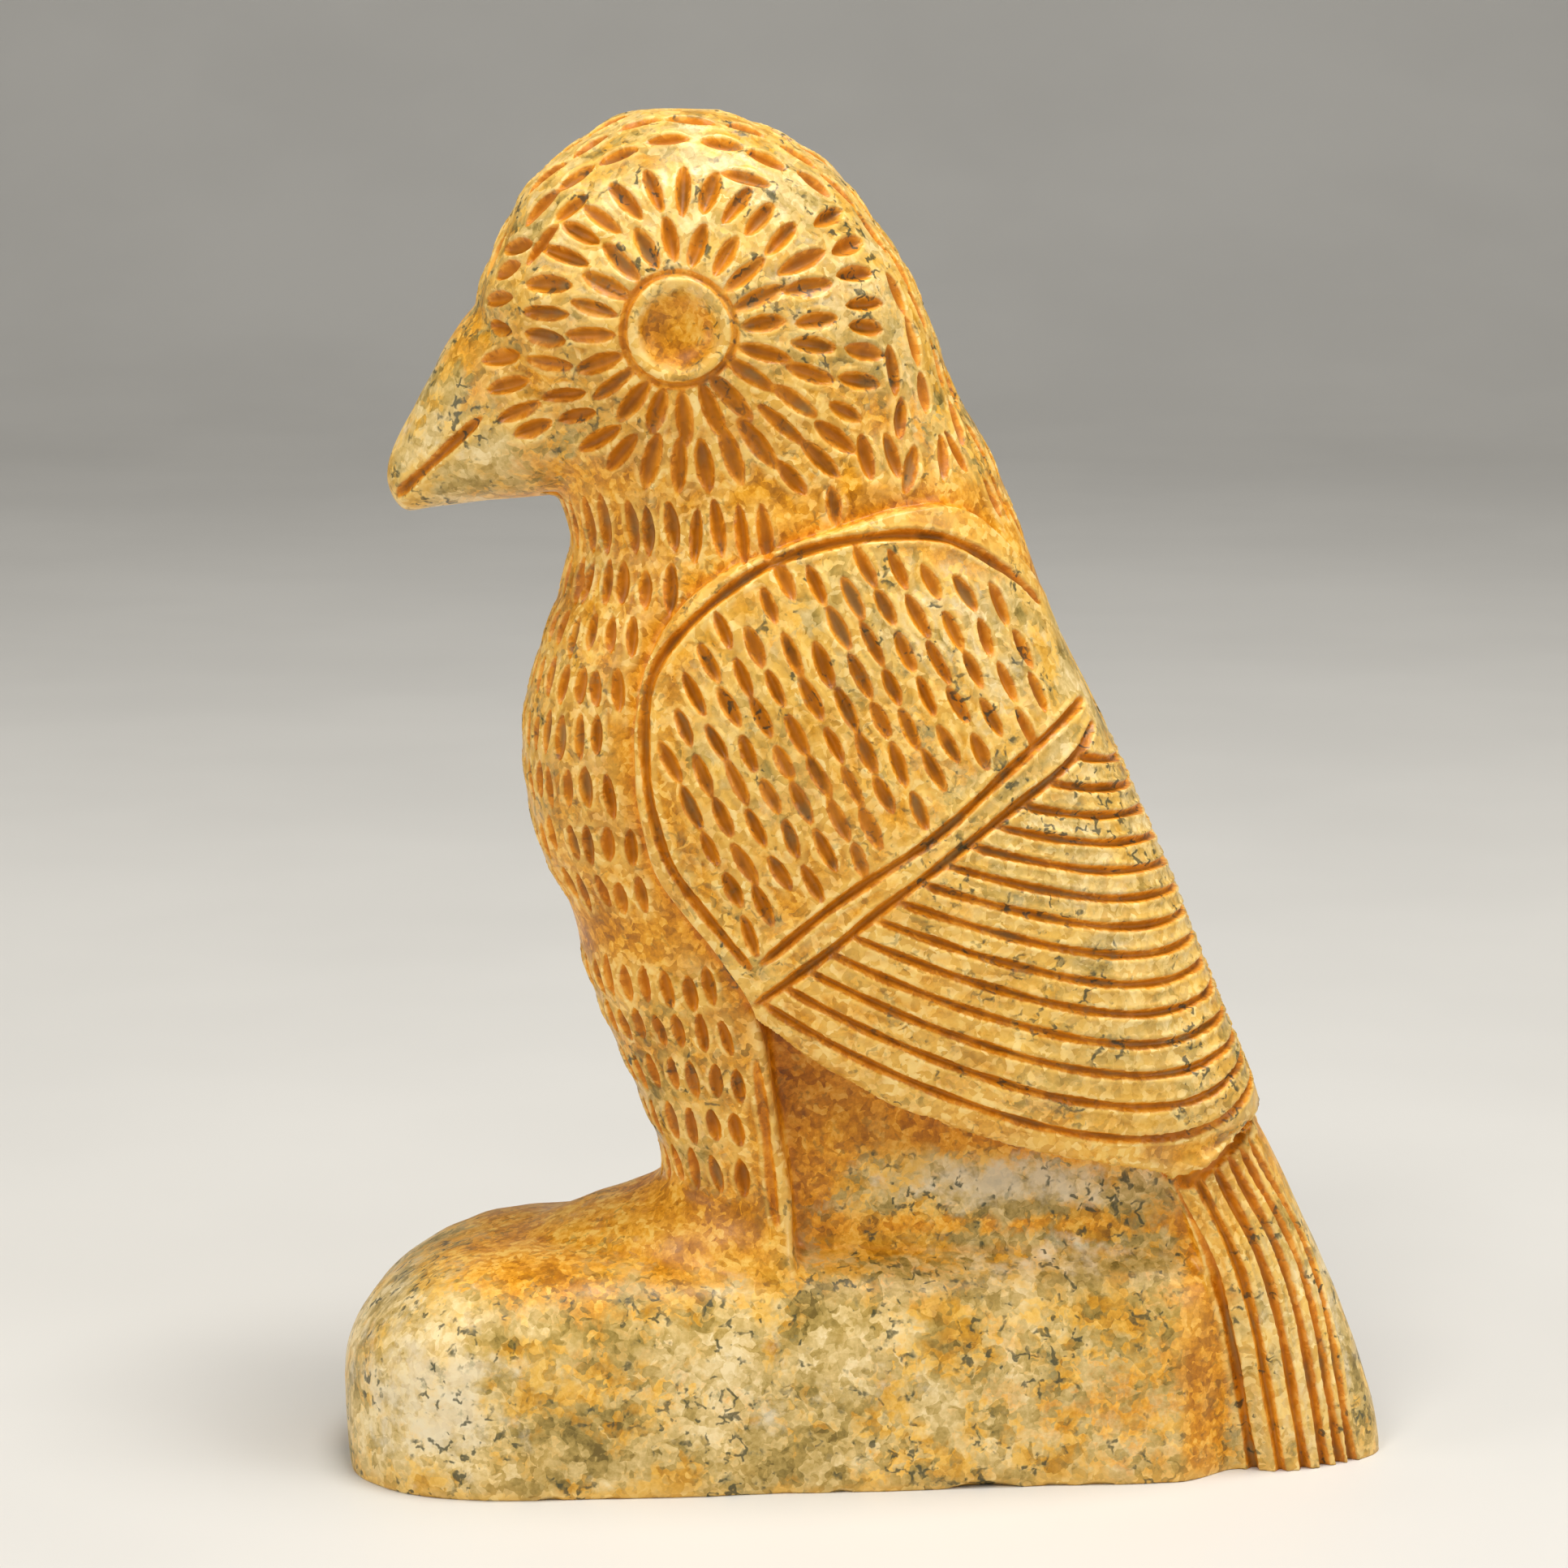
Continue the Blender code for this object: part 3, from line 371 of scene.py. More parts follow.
def build_base(bm):
    """Cross sections along the base, upright below and rolled over at the top."""
    reach = BASE_LENGTH + CHANNEL_WIDTH
    rings = []
    for k in range(61):
        along = reach * max((k / 60) ** 1.7, 0.0003)
        half, top, bottom = base_section(along)
        middle = (top + bottom) / 2
        ring = []
        for i in range(64):
            angle = math.tau * i / 64
            square = TOP_SQUARENESS if math.sin(angle) > 0 else FOOT_SQUARENESS
            v = power(math.cos(angle), 2 / square)
            w = power(math.sin(angle), 2 / square)
            ring.append(Vector((BASE_FRONT + along, half * v, middle + (top - bottom) / 2 * w)))
        rings.append(ring)
    add_loft(bm, rings)


def build_web(bm):
    """The wall behind the legs, run into its neighbours."""
    add_slab(bm, [fig(x, z) for x, z in WEB_OUTLINE], -WEB_WIDTH / 2, WEB_WIDTH / 2)


def build_form():
    """The whole carving before its relief: volumes fused and softened."""
    body = new_object("body", build_body)
    recess = new_object("recess", build_recess)
    modifier(body, 'BOOLEAN', operation='DIFFERENCE', object=recess)
    body_mesh = applied(body)
    bpy.data.objects.remove(recess, do_unlink=True)

    whole = linked("whole", body_mesh)
    bm = bmesh.new()
    bm.from_mesh(body_mesh)
    for build in (build_beak, build_tail, build_base, build_web):
        build(bm)
    bmesh.ops.recalc_face_normals(bm, faces=bm.faces)
    bm.to_mesh(body_mesh)
    bm.free()
    modifier(whole, 'REMESH', mode='VOXEL', voxel_size=VOXEL)
    modifier(whole, 'SMOOTH', factor=0.5, iterations=round((SOFTEN / VOXEL) ** 2))
    return applied(whole)


def vertex_array(source, name):
    """Three numbers for each vertex, from one of the mesh's own collections."""
    array = np.empty(len(source) * 3)
    source.foreach_get(name, array)
    return array.reshape(-1, 3)


def places_of(mesh):
    return vertex_array(mesh.vertices, "co")


def normals_of(mesh):
    return vertex_array(mesh.vertex_normals, "vector")


def tree_of(points):
    """A search tree for the nearest of some points."""
    tree = KDTree(len(points))
    for index, point in enumerate(points):
        tree.insert(point, index)
    tree.balance()
    return tree


def put_places(mesh, places):
    mesh.vertices.foreach_set("co", places.ravel())
    mesh.update()


def side_view(places):
    """Side-view x, z of places in the figure's own measure."""
    return np.stack(side_units(places[:, 0], places[:, 2]), axis=1)


def ease(value, low=0.0, high=1.0):
    """A soft step from 0 at low to 1 at high."""
    share = np.clip((value - low) / (high - low), 0, 1)
    return share * share * (3 - 2 * share)


def waves(places, length, seed):
    """An uneven field of about -1 to 1 with swells of the given length in metres."""
    draw = random.Random(seed)
    total = np.zeros(len(places))
    for k in range(9):
        way = Vector((draw.gauss(0, 1), draw.gauss(0, 1), draw.gauss(0, 1))).normalized()
        pitch = math.tau / (length * draw.uniform(0.7, 1.6))
        total += np.sin(places @ np.array(way) * pitch + draw.uniform(0, math.tau))
    return total / 3.0


class Relief:
    """Strokes cut into the form, kept as a depth and a rim height for each vertex."""

    def __init__(self, mesh, seed):
        self.places = places_of(mesh)
        self.normals = normals_of(mesh)
        self.depth = np.zeros(len(self.places))
        self.rim = np.zeros(len(self.places))
        self.dashes = []
        self.side = -1
        self.random = random.Random(seed)
        points = [Vector(place) for place in self.places]
        self.tree = tree_of(points)
        self.surface = BVHTree.FromPolygons(points, [face.vertices for face in mesh.polygons])

    def hit(self, origin, direction):
        """Where a ray meets the form, and the normal there."""
        place = self.surface.ray_cast(origin, direction)[0]
        if place is None:
            return None
        return place, Vector(self.normals[self.tree.find(place)[1]])

    def from_side(self, x, z):
        """The surface point seen at side-view x, z from the side being carved."""
        return self.hit(fig(x, z) + Vector((0, 0.1 * self.side, 0)), Vector((0, -self.side, 0)))

    def near(self, place, normal, radius):
        """Vertices round a place on the same side of the stone, and their offsets."""
        found = np.array([item[1] for item in self.tree.find_range(place, radius)], dtype=int)
        if len(found):
            found = found[self.normals[found] @ np.array(normal) > 0.2]
        return found, self.places[found] - np.array(place)

    def dash(self, place, normal, along, length=DASH_HALF_LENGTH, width=DASH_HALF_WIDTH,
             clearance=DASH_CLEARANCE):
        """A lens-shaped pit with a low raised rim, left out where it would meet an earlier one;
        the rim is painted pale, partly as wear, partly as a painted highlight.
        """
        draw = self.random
        along = along - normal * along.dot(normal)
        along = (along + normal.cross(along) * draw.gauss(0, 0.07)).normalized()
        across = normal.cross(along)
        marks = [place + along * (share * length * UNIT) for share in (0.0, -0.65, 0.65)]
        for other in self.dashes:
            if (other[0] - place).length < NEIGHBOUR_REACH * UNIT:
                if min((a - b).length for a in marks for b in other) < clearance * UNIT:
                    return
        self.dashes.append(marks)
        half_length = length * UNIT * draw.uniform(0.84, 1.12)
        half_width = width * UNIT * draw.uniform(0.86, 1.14)
        depth = DASH_DEPTH * UNIT * draw.uniform(0.8, 1.15)
        lean = draw.uniform(-0.25, 0.25)
        found, offset = self.near(place, normal, half_length * 1.3)
        u = offset @ np.array(along) / half_length
        body = np.clip(1 - u * u, 0, 1)
        v = offset @ np.array(across) / (half_width * np.maximum(body, 0.04) ** 0.6)
        bowl = np.clip(1 - (v + lean * (1 - v * v)) ** 2, 0, 1) * np.sqrt(body)
        self.depth[found] = np.maximum(self.depth[found], depth * np.where(abs(v) < 1, bowl, 0))
        rim = np.exp(-((abs(v) - DASH_RIM[0]) / DASH_RIM[1]) ** 2)
        rim = rim * np.sqrt(body) * RIM_HEIGHT * UNIT
        self.rim[found] = np.maximum(self.rim[found], rim)

    def groove(self, curve, half_width=GROOVE_HALF_WIDTH, depth=GROOVE_DEPTH, steps=6,
               onward=False):
        """A groove faded at its ends; with onward it runs on to the middle of the back."""
        draw = self.random
        hits = [self.from_side(x, z) for x, z in catmull_rom(curve, steps)]
        hits = [hit for hit in hits if hit]
        if onward:
            while len(hits) > 2 and abs(hits[-1][1].y) < 0.6:
                hits.pop()
            run = (hits[-1][0] - hits[-2][0]).normalized()
            hits += round_back(self, *hits[-1], run.z)
        pairs = [pair for pair in zip(hits, hits[1:])
                 if 0 < (pair[1][0] - pair[0][0]).length < NEIGHBOUR_REACH * UNIT]
        total = sum((there[0] - here[0]).length for here, there in pairs)
        swell, beat, travelled = draw.uniform(0, math.tau), draw.uniform(0.5, 0.9), 0.0
        for (here, normal), (there, other) in pairs:
            run = there - here
            reach = run.length / 2 + half_width * UNIT * 2
            found, offset = self.near((here + there) / 2, (normal + other) / 2, reach)
            offset = self.places[found] - np.array(here)
            share = np.clip(offset @ np.array(run) / run.length_squared, 0, 1)
            offset = offset - share[:, None] * np.array(run)
            offset = offset - (offset @ np.array(normal))[:, None] * np.array(normal)
            place = travelled + share * run.length
            travelled += run.length
            sway = 1 + 0.12 * np.sin(swell + place / UNIT * beat)
            fade = np.clip(np.minimum(place, total - place) / (1.6 * UNIT) + 0.25, 0, 1)
            wide = half_width * UNIT * (0.5 + 0.5 * fade) * sway
            reach = np.linalg.norm(offset, axis=1) / wide
            value = depth * UNIT * sway * fade * np.clip(1 - reach ** 2, 0, 1)
            self.depth[found] = np.maximum(self.depth[found], value)
            rim = np.exp(-((reach - GROOVE_RIM[0]) / GROOVE_RIM[1]) ** 2)
            rim = rim * RIM_HEIGHT * UNIT * fade
            self.rim[found] = np.maximum(self.rim[found], rim)

    def finish(self):
        """The places with the strokes cut in."""
        rise = np.where(self.depth > 0, 0, self.rim) - self.depth
        return self.places + self.normals * rise[:, None]


def curve_distance(points, curve):
    """Distance of side-view points to a polyline."""
    best = np.full(len(points), FOUND_FAR)
    for start, end in zip(curve, curve[1:]):
        start, run = np.array(start), np.array(end) - np.array(start)
        share = np.clip(((points - start) @ run) / (run @ run), 0, 1)
        best = np.minimum(best, np.linalg.norm(points - start - share[:, None] * run, axis=1))
    return best


def inside(points, outline):
    """Which side-view points lie inside a closed outline."""
    result = np.zeros(len(points), dtype=bool)
    x, z = points[:, 0], points[:, 1]
    for (ax, az), (bx, bz) in zip(outline, outline[1:] + outline[:1]):
        if az == bz:
            continue
        crosses = (az > z) != (bz > z)
        result ^= crosses & (x < ax + (z - az) * (bx - ax) / (bz - az))
    return result


def wing_outline():
    front, low = smooth_line(WING_FRONT_EDGE, 4), smooth_line(WING_LOWER_EDGE, 3)
    return low[::-1] + front + [(60.0, 76.0), (60.0, 38.0)]


def raise_wing(mesh):
    """Lift the wing above the breast with a soft step and a shallow gutter before it."""
    places, normals = places_of(mesh), normals_of(mesh)
    points = side_view(places)
    within = inside(points, wing_outline())
    edge = curve_distance(points, catmull_rom(WING_FRONT_EDGE, 4))
    lift = ease(edge / WING_STEP) * (WING_RAISE + GUTTER_DEPTH) - GUTTER_DEPTH
    gutter = -GUTTER_DEPTH * np.clip(1 - edge / GUTTER_WIDTH, 0, 1) ** 2
    lift = np.where(within, lift, gutter) * UNIT * np.minimum(1, abs(normals[:, 1]) / 0.6)
    lift[normals[:, 2] <= -0.75] = 0
    put_places(mesh, places + normals * lift[:, None])


def carve_eye(relief):
    """A shallow cup in a raised ring, with a groove round it."""
    points = side_view(relief.places)
    dx, dz = points[:, 0] - EYE[0], points[:, 1] - EYE[1]
    uneven = 1 + 0.02 * np.sin(3 * np.arctan2(dz, dx) + relief.side)
    reach = np.hypot(dx, dz) * uneven
    cup = EYE_CUP_DEPTH * np.clip(1 - (reach / EYE_CUP) ** EYE_CUP_ROUNDING, 0, 1)
    ring = EYE_RING_DEPTH * np.clip(1 - ((reach - EYE_RING) / EYE_RING_WIDTH) ** 2, 0, 1)
    near = relief.normals[:, 1] * relief.side > 0.3
    relief.depth = np.maximum(relief.depth, np.where(near, ring * UNIT, 0))
    crest = EYE_CREST * np.exp(-((reach - (EYE_CUP + EYE_RING) / 2) / 0.5) ** 2)
    relief.places += relief.normals * np.where(near, (crest - cup) * UNIT, 0)[:, None]


def not_beak(place):
    """The beak stays smooth in front of a line from the brow to the jaw."""
    x, z = side_units(place.x, place.z)
    return x > BEAK_ROOT[0] - BEAK_LEAN * (z - BEAK_ROOT[1])


def carve_rosette(relief):
    """Rings of dashes that point away from the eye; the outer one is partial."""
    draw = relief.random
    for radius, count, turn, lowest, highest in ROSETTE_RINGS:
        for k in range(count):
            degrees = 360 * (k + turn) / count
            if not (lowest <= degrees <= highest or lowest <= degrees + 360 <= highest):
                continue
            angle = math.radians(degrees + draw.gauss(0, 0.8))
            out = Vector((math.cos(angle), 0, math.sin(angle)))
            far = radius + draw.gauss(0, 0.15)
            hit = relief.from_side(EYE[0] + far * out.x, EYE[1] + far * out.z)
            if hit and not_beak(hit[0]):
                if out.x < 0:
                    out.z *= 0.55 if radius > 10 else 0.85
                length = ROSETTE_HALF_LENGTH * (1.1 if out.z < -0.5 else 1)
                length *= 0.87 if radius > ROSETTE_REACH else 1
                relief.dash(*hit, out, length, ROSETTE_HALF_WIDTH, ROSETTE_CLEARANCE)


def eye_distance(place):
    """How far a surface point lies from the eye in the side view."""
    eye = fig(*EYE)
    return math.hypot(place.x - eye.x, place.z - eye.z) / UNIT


def on_wing(place):
    spot = np.array([side_units(place.x, place.z)])
    edge = curve_distance(spot, catmull_rom(WING_FRONT_EDGE, 4))[0]
    return inside(spot, wing_outline())[0] or edge < WING_CLEARANCE


def carve_crown(relief):
    """Rows that follow the head's outline from the brow to the nape."""
    centre = fig(*HEAD_CENTRE)
    draw = relief.random
    for row, lean in enumerate(CROWN_LEANS):
        for k in range(CROWN_COUNT):
            side = math.radians(lean + draw.gauss(0, 0.6))
            turn = CROWN_FIRST - CROWN_STEP * (k + 0.5 * (row % 2))
            angle = math.radians(turn + draw.gauss(0, 0.8))
            out = Vector((math.cos(angle) * math.cos(side), relief.side * math.sin(side),
                          math.sin(angle) * math.cos(side)))
            hit = relief.hit(centre, out)
            if hit and eye_distance(hit[0]) > ROSETTE_REACH and not on_wing(hit[0]):
                relief.dash(*hit, Vector((math.sin(angle), 0, -math.cos(angle))),
                            CROWN_HALF_LENGTH, CROWN_HALF_WIDTH)


def carve_rows(relief, rows):
    """Level rows of upright dashes round the body, staggered row by row."""
    draw = relief.random
    for number, (axis_x, z, first, last, length) in enumerate(rows):
        angle = first + (0.5 * ROW_SPACING if number % 2 else 0.0)
        while angle < last:
            centre = fig(axis_x, z + draw.gauss(0, 0.25))
            turn = math.radians(angle + draw.gauss(0, 0.7))
            out = Vector((-math.cos(turn), relief.side * math.sin(turn), 0))
            hit = relief.hit(centre, out)
            if hit and on_breast_or_legs(hit[0]):
                relief.dash(*hit, Vector((0.1 + 0.45 * max(out.x, 0), 0, -1)), length)
            reach = (hit[0] - centre).length / UNIT if hit else ROW_REACH
            angle += ROW_SPACING * ROW_REACH / max(reach, 8.0)


def on_breast_or_legs(place):
    x, z = side_units(place.x, place.z)
    on_head = eye_distance(place) < ROSETTE_REACH + 0.6
    behind_leg = z < LEG_ROWS_BELOW and x > LEG_ROWS_BEHIND
    below_beak = z < BEAK_ROOT[1] or not_beak(place)
    return below_beak and not (on_wing(place) or behind_leg or on_head)


def carve_breast_and_legs(relief):
    """Rows of axis x, height, first and last degree, half length."""
    rows = [(NECK_AXIS, z, 100, 180, NAPE_HALF_LENGTH) for z in NAPE_HEIGHTS]
    rows += [(NECK_AXIS, z, 0, 180, length) for z, length in NECK_ROWS]
    rows += [(BREAST_AXIS, z, 0, 100, BODY_HALF_LENGTH) for z in BREAST_HEIGHTS]
    rows += [(LEG_AXIS, z, 0, 100, BODY_HALF_LENGTH) for z in LEG_HEIGHTS]
    carve_rows(relief, rows)


def carve_coverts(relief):
    """Staggered slanting dashes between the wing's border line and the band."""
    draw = relief.random
    area = smooth_line(WING_BORDER_LINE, 4) + smooth_line(BAND_UPPER_LINE, 3)[::-1]
    for row in range(-12, 13):
        for column in range(-14, 15):
            along = COVERT_PITCH * (row + (0.5 if column % 2 else 0.0)) + draw.gauss(0, 0.2)
            aside = COVERT_SPACING * column + draw.gauss(0, 0.12)
            spot = COVERT_MIDDLE + COVERT_RUN * along + COVERT_CROSS * aside
            here = np.array([[spot.x, spot.z]])
            if not inside(here, area)[0]:
                continue
            if curve_distance(here, area + area[:1])[0] < COVERT_MARGIN:
                continue
            hit = relief.from_side(spot.x, spot.z)
            if hit:
                relief.dash(*hit, COVERT_RUN)


def between(first, last, share):
    return tuple(a + (b - a) * share for a, b in zip(first, last))


def flight_groove(number):
    """One flight-feather groove: it sags, then turns up at the back edge."""
    share = number / (FLIGHT_GROOVES - 1)
    start = between(FLIGHT_TOP_START, FLIGHT_LOW_START, share ** 0.92)
    end = between(FLIGHT_TOP_END, FLIGHT_LOW_END, share)
    run = end[0] - start[0]
    fall = FLIGHT_FALL_TOP + (FLIGHT_FALL_LOW - FLIGHT_FALL_TOP) * share ** 2.5
    back, down = between(FLIGHT_HOOK_TOP, FLIGHT_HOOK_LOW, share ** 1.5)
    first = (start[0] + 0.32 * run, start[1] - 0.32 * run * fall)
    second = (end[0] - back * run, end[1] - down * run)
    curve = []
    for k in range(25):
        t = k / 24
        a, b, c, d = (1 - t) ** 3, 3 * t * (1 - t) ** 2, 3 * t * t * (1 - t), t ** 3
        curve.append(tuple(a * p + b * q + c * r + d * s
                           for p, q, r, s in zip(start, first, second, end)))
    return curve


def tail_groove(share):
    return [between(a, b, share) for a, b in zip(TAIL_FIRST, TAIL_LAST)]


def round_back(relief, place, normal, rise):
    """Steps that carry a groove from the wing's back edge round to the back seam."""
    hits = []
    while place.y * relief.side > 1.2 * UNIT and len(hits) < 30:
        level = Vector((0, 0, 1)).cross(normal).normalized() * -relief.side
        place = place + (level + Vector((0, 0, rise))).normalized() * UNIT
        rise *= 0.86
        place = relief.surface.find_nearest(place)[0]
        normal = Vector(relief.normals[relief.tree.find(place)[1]])
        hits.append((place, normal))
    return hits


def carve_lines(relief):
    for curve in (WING_BORDER_LINE, BAND_UPPER_LINE, BAND_LOWER_LINE, MOUTH_LINE):
        relief.groove(curve)
    relief.groove(LEG_EDGE_LINE, LEG_EDGE_HALF_WIDTH, LEG_EDGE_DEPTH)
    relief.groove(UNDERCUT_LINE, UNDERCUT_HALF_WIDTH, UNDERCUT_DEPTH, onward=True)
    for number in range(FLIGHT_GROOVES):
        relief.groove(flight_groove(number), FLIGHT_HALF_WIDTH, FLIGHT_DEPTH, 1, True)
    for share in TAIL_SHARES:
        relief.groove(tail_groove(share), steps=12)


def carve_back_seam(relief):
    """A shallow line down the middle of the back, where the wings meet."""
    (top_x, top_z), (low_x, low_z) = BACK_SEAM
    points = side_view(relief.places)
    run = np.array((low_x - top_x, low_z - top_z))
    share = (points - np.array((top_x, top_z))) @ run / (run @ run)
    fade = np.clip(np.minimum(share, 1 - share) * 6, 0, 1)
    behind = relief.normals[:, 0] > 0.2
    sway = 0.1 * UNIT * np.sin(share * 40)
    reach = abs(relief.places[:, 1] + sway) / (SEAM_HALF_WIDTH * UNIT)
    value = SEAM_DEPTH * UNIT * fade * np.clip(1 - reach ** 2, 0, 1)
    relief.depth = np.maximum(relief.depth, np.where(behind, value, 0))


def bow_strips(relief):
    """Strips between grooves are crowned: the stone falls off beside every groove."""
    points = side_view(relief.places)
    area = inside(points, wing_outline()) | (points[:, 0] > 28)
    chosen = np.flatnonzero(area & (points[:, 0] > -22) & (points[:, 1] < 96))
    lines = [flight_groove(number) for number in range(FLIGHT_GROOVES)]
    lines += [catmull_rom(tail_groove(share), 6) for share in TAIL_SHARES]
    lines += [catmull_rom(curve, 5) for curve in
              (WING_BORDER_LINE, BAND_UPPER_LINE, BAND_LOWER_LINE)]
    best = np.full(len(chosen), FOUND_FAR)
    for line in lines:
        best = np.minimum(best, curve_distance(points[chosen], line))
    fall = np.clip(1 - best / STRIP_BOW_WIDTH, 0, 1) ** 2 * STRIP_BOW * UNIT
    fall *= np.clip(abs(relief.normals[chosen, 1]) * 1.6 - 0.2, 0, 1)
    relief.places[chosen] -= relief.normals[chosen] * fall[:, None]


NEAR_CHIP = (11.6, -1, 3.6, 0.8)  # middle, side, reach, height


def chip_edges(places):
    """A chip out of the near bottom edge, and small nicks along the rest of it."""
    draw = random.Random(5)
    chips = [NEAR_CHIP]
    for k in range(14):
        chips.append((draw.uniform(-42, 32), draw.choice((-1, 1)), draw.uniform(1.0, 2.2),
                      draw.uniform(0.25, 0.5)))
    x, y, z = places.T / UNIT
    push = np.zeros(len(places))
    for middle, side, reach, high in chips:
        arch = high * np.clip(1 - ((x - middle) / reach) ** 2, 0, 1)
        scoop = np.clip((arch - z) / 1.1, 0, 1) ** 0.7 * high * 1.5
        push = np.maximum(push, np.where((y * side > 4) & (z < high), scoop, 0))
    places[:, 1] -= np.sign(places[:, 1]) * push * UNIT


def neighbour_mean(values, edges, degree, rounds):
    """Each vertex's values, averaged with its neighbours' over some rounds."""
    first, second = edges
    count = len(values)
    for k in range(rounds):
        total = np.empty_like(values)
        for axis in range(values.shape[1]):
            column = values[:, axis]
            total[:, axis] = (np.bincount(first, column[second], count)
                              + np.bincount(second, column[first], count))
        values = 0.5 * values + 0.5 * total / degree[:, None]
    return values


def thinned(mesh, triangles):
    """The mesh with flat stretches left to few faces."""
    obj = linked("thinned", mesh)
    share = triangles / sum(len(face.vertices) - 2 for face in mesh.polygons)
    modifier(obj, 'TRIANGULATE')
    modifier(obj, 'SMOOTH', factor=0.35, iterations=1)
    modifier(obj, 'DECIMATE', ratio=min(1.0, share), use_collapse_triangulate=True)
    return applied(obj)


def cut_flat(mesh):
    """Cut the underside off flat at the floor and close it."""
    bm = bmesh.new()
    bm.from_mesh(mesh)
    result = bmesh.ops.bisect_plane(bm, geom=bm.verts[:] + bm.edges[:] + bm.faces[:],
                                    plane_co=(0, 0, 0), plane_no=(0, 0, -1), clear_outer=True)
    rim = [item for item in result["geom_cut"] if isinstance(item, bmesh.types.BMEdge)]
    for edge in rim:
        for vert in edge.verts:
            vert.co.z = 0.0
    bmesh.ops.edgenet_fill(bm, edges=rim)
    bmesh.ops.triangulate(bm, faces=[face for face in bm.faces if len(face.verts) > 3])
    bmesh.ops.recalc_face_normals(bm, faces=bm.faces)
    bm.to_mesh(mesh)
    bm.free()


# Where orange patina has settled: side-view x, z, reach along x and z, strength
STAINS = (
    (-17, 108, 17, 13, 0.24), (-9, 101, 12, 5, 0.3), (-19, 92, 9, 5, 0.6), (-8, 94, 12, 2.6, 0.9),
    (-24, 84, 6, 5, 0.45), (-20, 78, 3.5, 9, 0.8), (-19, 62, 4, 9, 0.6), (-27, 66, 6, 12, 0.33),
    (-24, 54, 6, 4, 0.6), (0, 72, 9, 9, 0.35), (-6, 61, 9, 6, 0.35), (8, 47, 16, 7, 0.33),
    (-13, 38, 6, 11, 0.30), (-5, 38, 4, 12, 0.9), (8, 34.5, 14, 3.4, 0.7), (22, 32, 10, 2.2, 0.7),
    (12, 24.5, 24, 0.8, 0.8), (-18, 25, 9, 4, 0.85), (-34, 22.5, 10, 3.0, 0.65),
    (32.9, 12, 1.9, 18, 0.95), (-33, 103, 4, 3, 0.3), (-2, 21.5, 12, 2.2, 0.2),
    (10, 92, 8, 5, 0.45), (38, 30, 6, 4, 0.4), (-17.2, 110.6, 3.4, 3.4, 0.6),
)
# Where the stone is made pale: the same, over cream and grey-green; partly the stone's own pale
# patches, partly painted sheen and light on faces turned to the lamps, as on the base's front and
# top
PALES = (
    (-41, 10, 9, 8, 1.0), (-40, 100, 7, 6, 0.5), (-16, 118, 13, 8, 0.45), (-6, 112, 9, 9, 0.45),
    (8, 82, 12, 7, 0.5), (14, 28.8, 14, 3.6, 0.95), (-14, 34, 4, 7, 0.5), (-4, 10, 24, 9, 0.45),
    (20, 21.5, 10, 2.0, 0.6), (44, 12, 6, 14, 0.7), (24, 55, 10, 14, 0.45),
    (-30, 24.5, 14, 3.4, 0.6),
)
# Painted shade, where the stone is made darker, as on the head's side, the leg and under the
# wing: the same
PAINTED_SHADE_SPOTS = (
    (-18, 100, 13, 7, 0.6), (-14, 37, 8, 12, 0.95), (-8, 92, 12, 4, 0.4), (12, 33, 16, 4, 0.45),
    (26, 12, 8, 9, 0.4),
)


def blots(points, rows):
    """Soft overlapping spots of a table, joined into one field of 0 to 1."""
    clear = np.ones(len(points))
    for x, z, reach_x, reach_z, strength in rows:
        far = ((points[:, 0] - x) / reach_x) ** 2 + ((points[:, 1] - z) / reach_z) ** 2
        clear *= 1 - strength * np.exp(-far)
    return 1 - clear


def mark(mesh, name, values):
    """Store a number between 0 and 1 for each vertex."""
    layer = mesh.attributes.new(name, 'FLOAT', 'POINT')
    layer.data.foreach_set("value", np.clip(values, 0, 1).astype(np.float32))


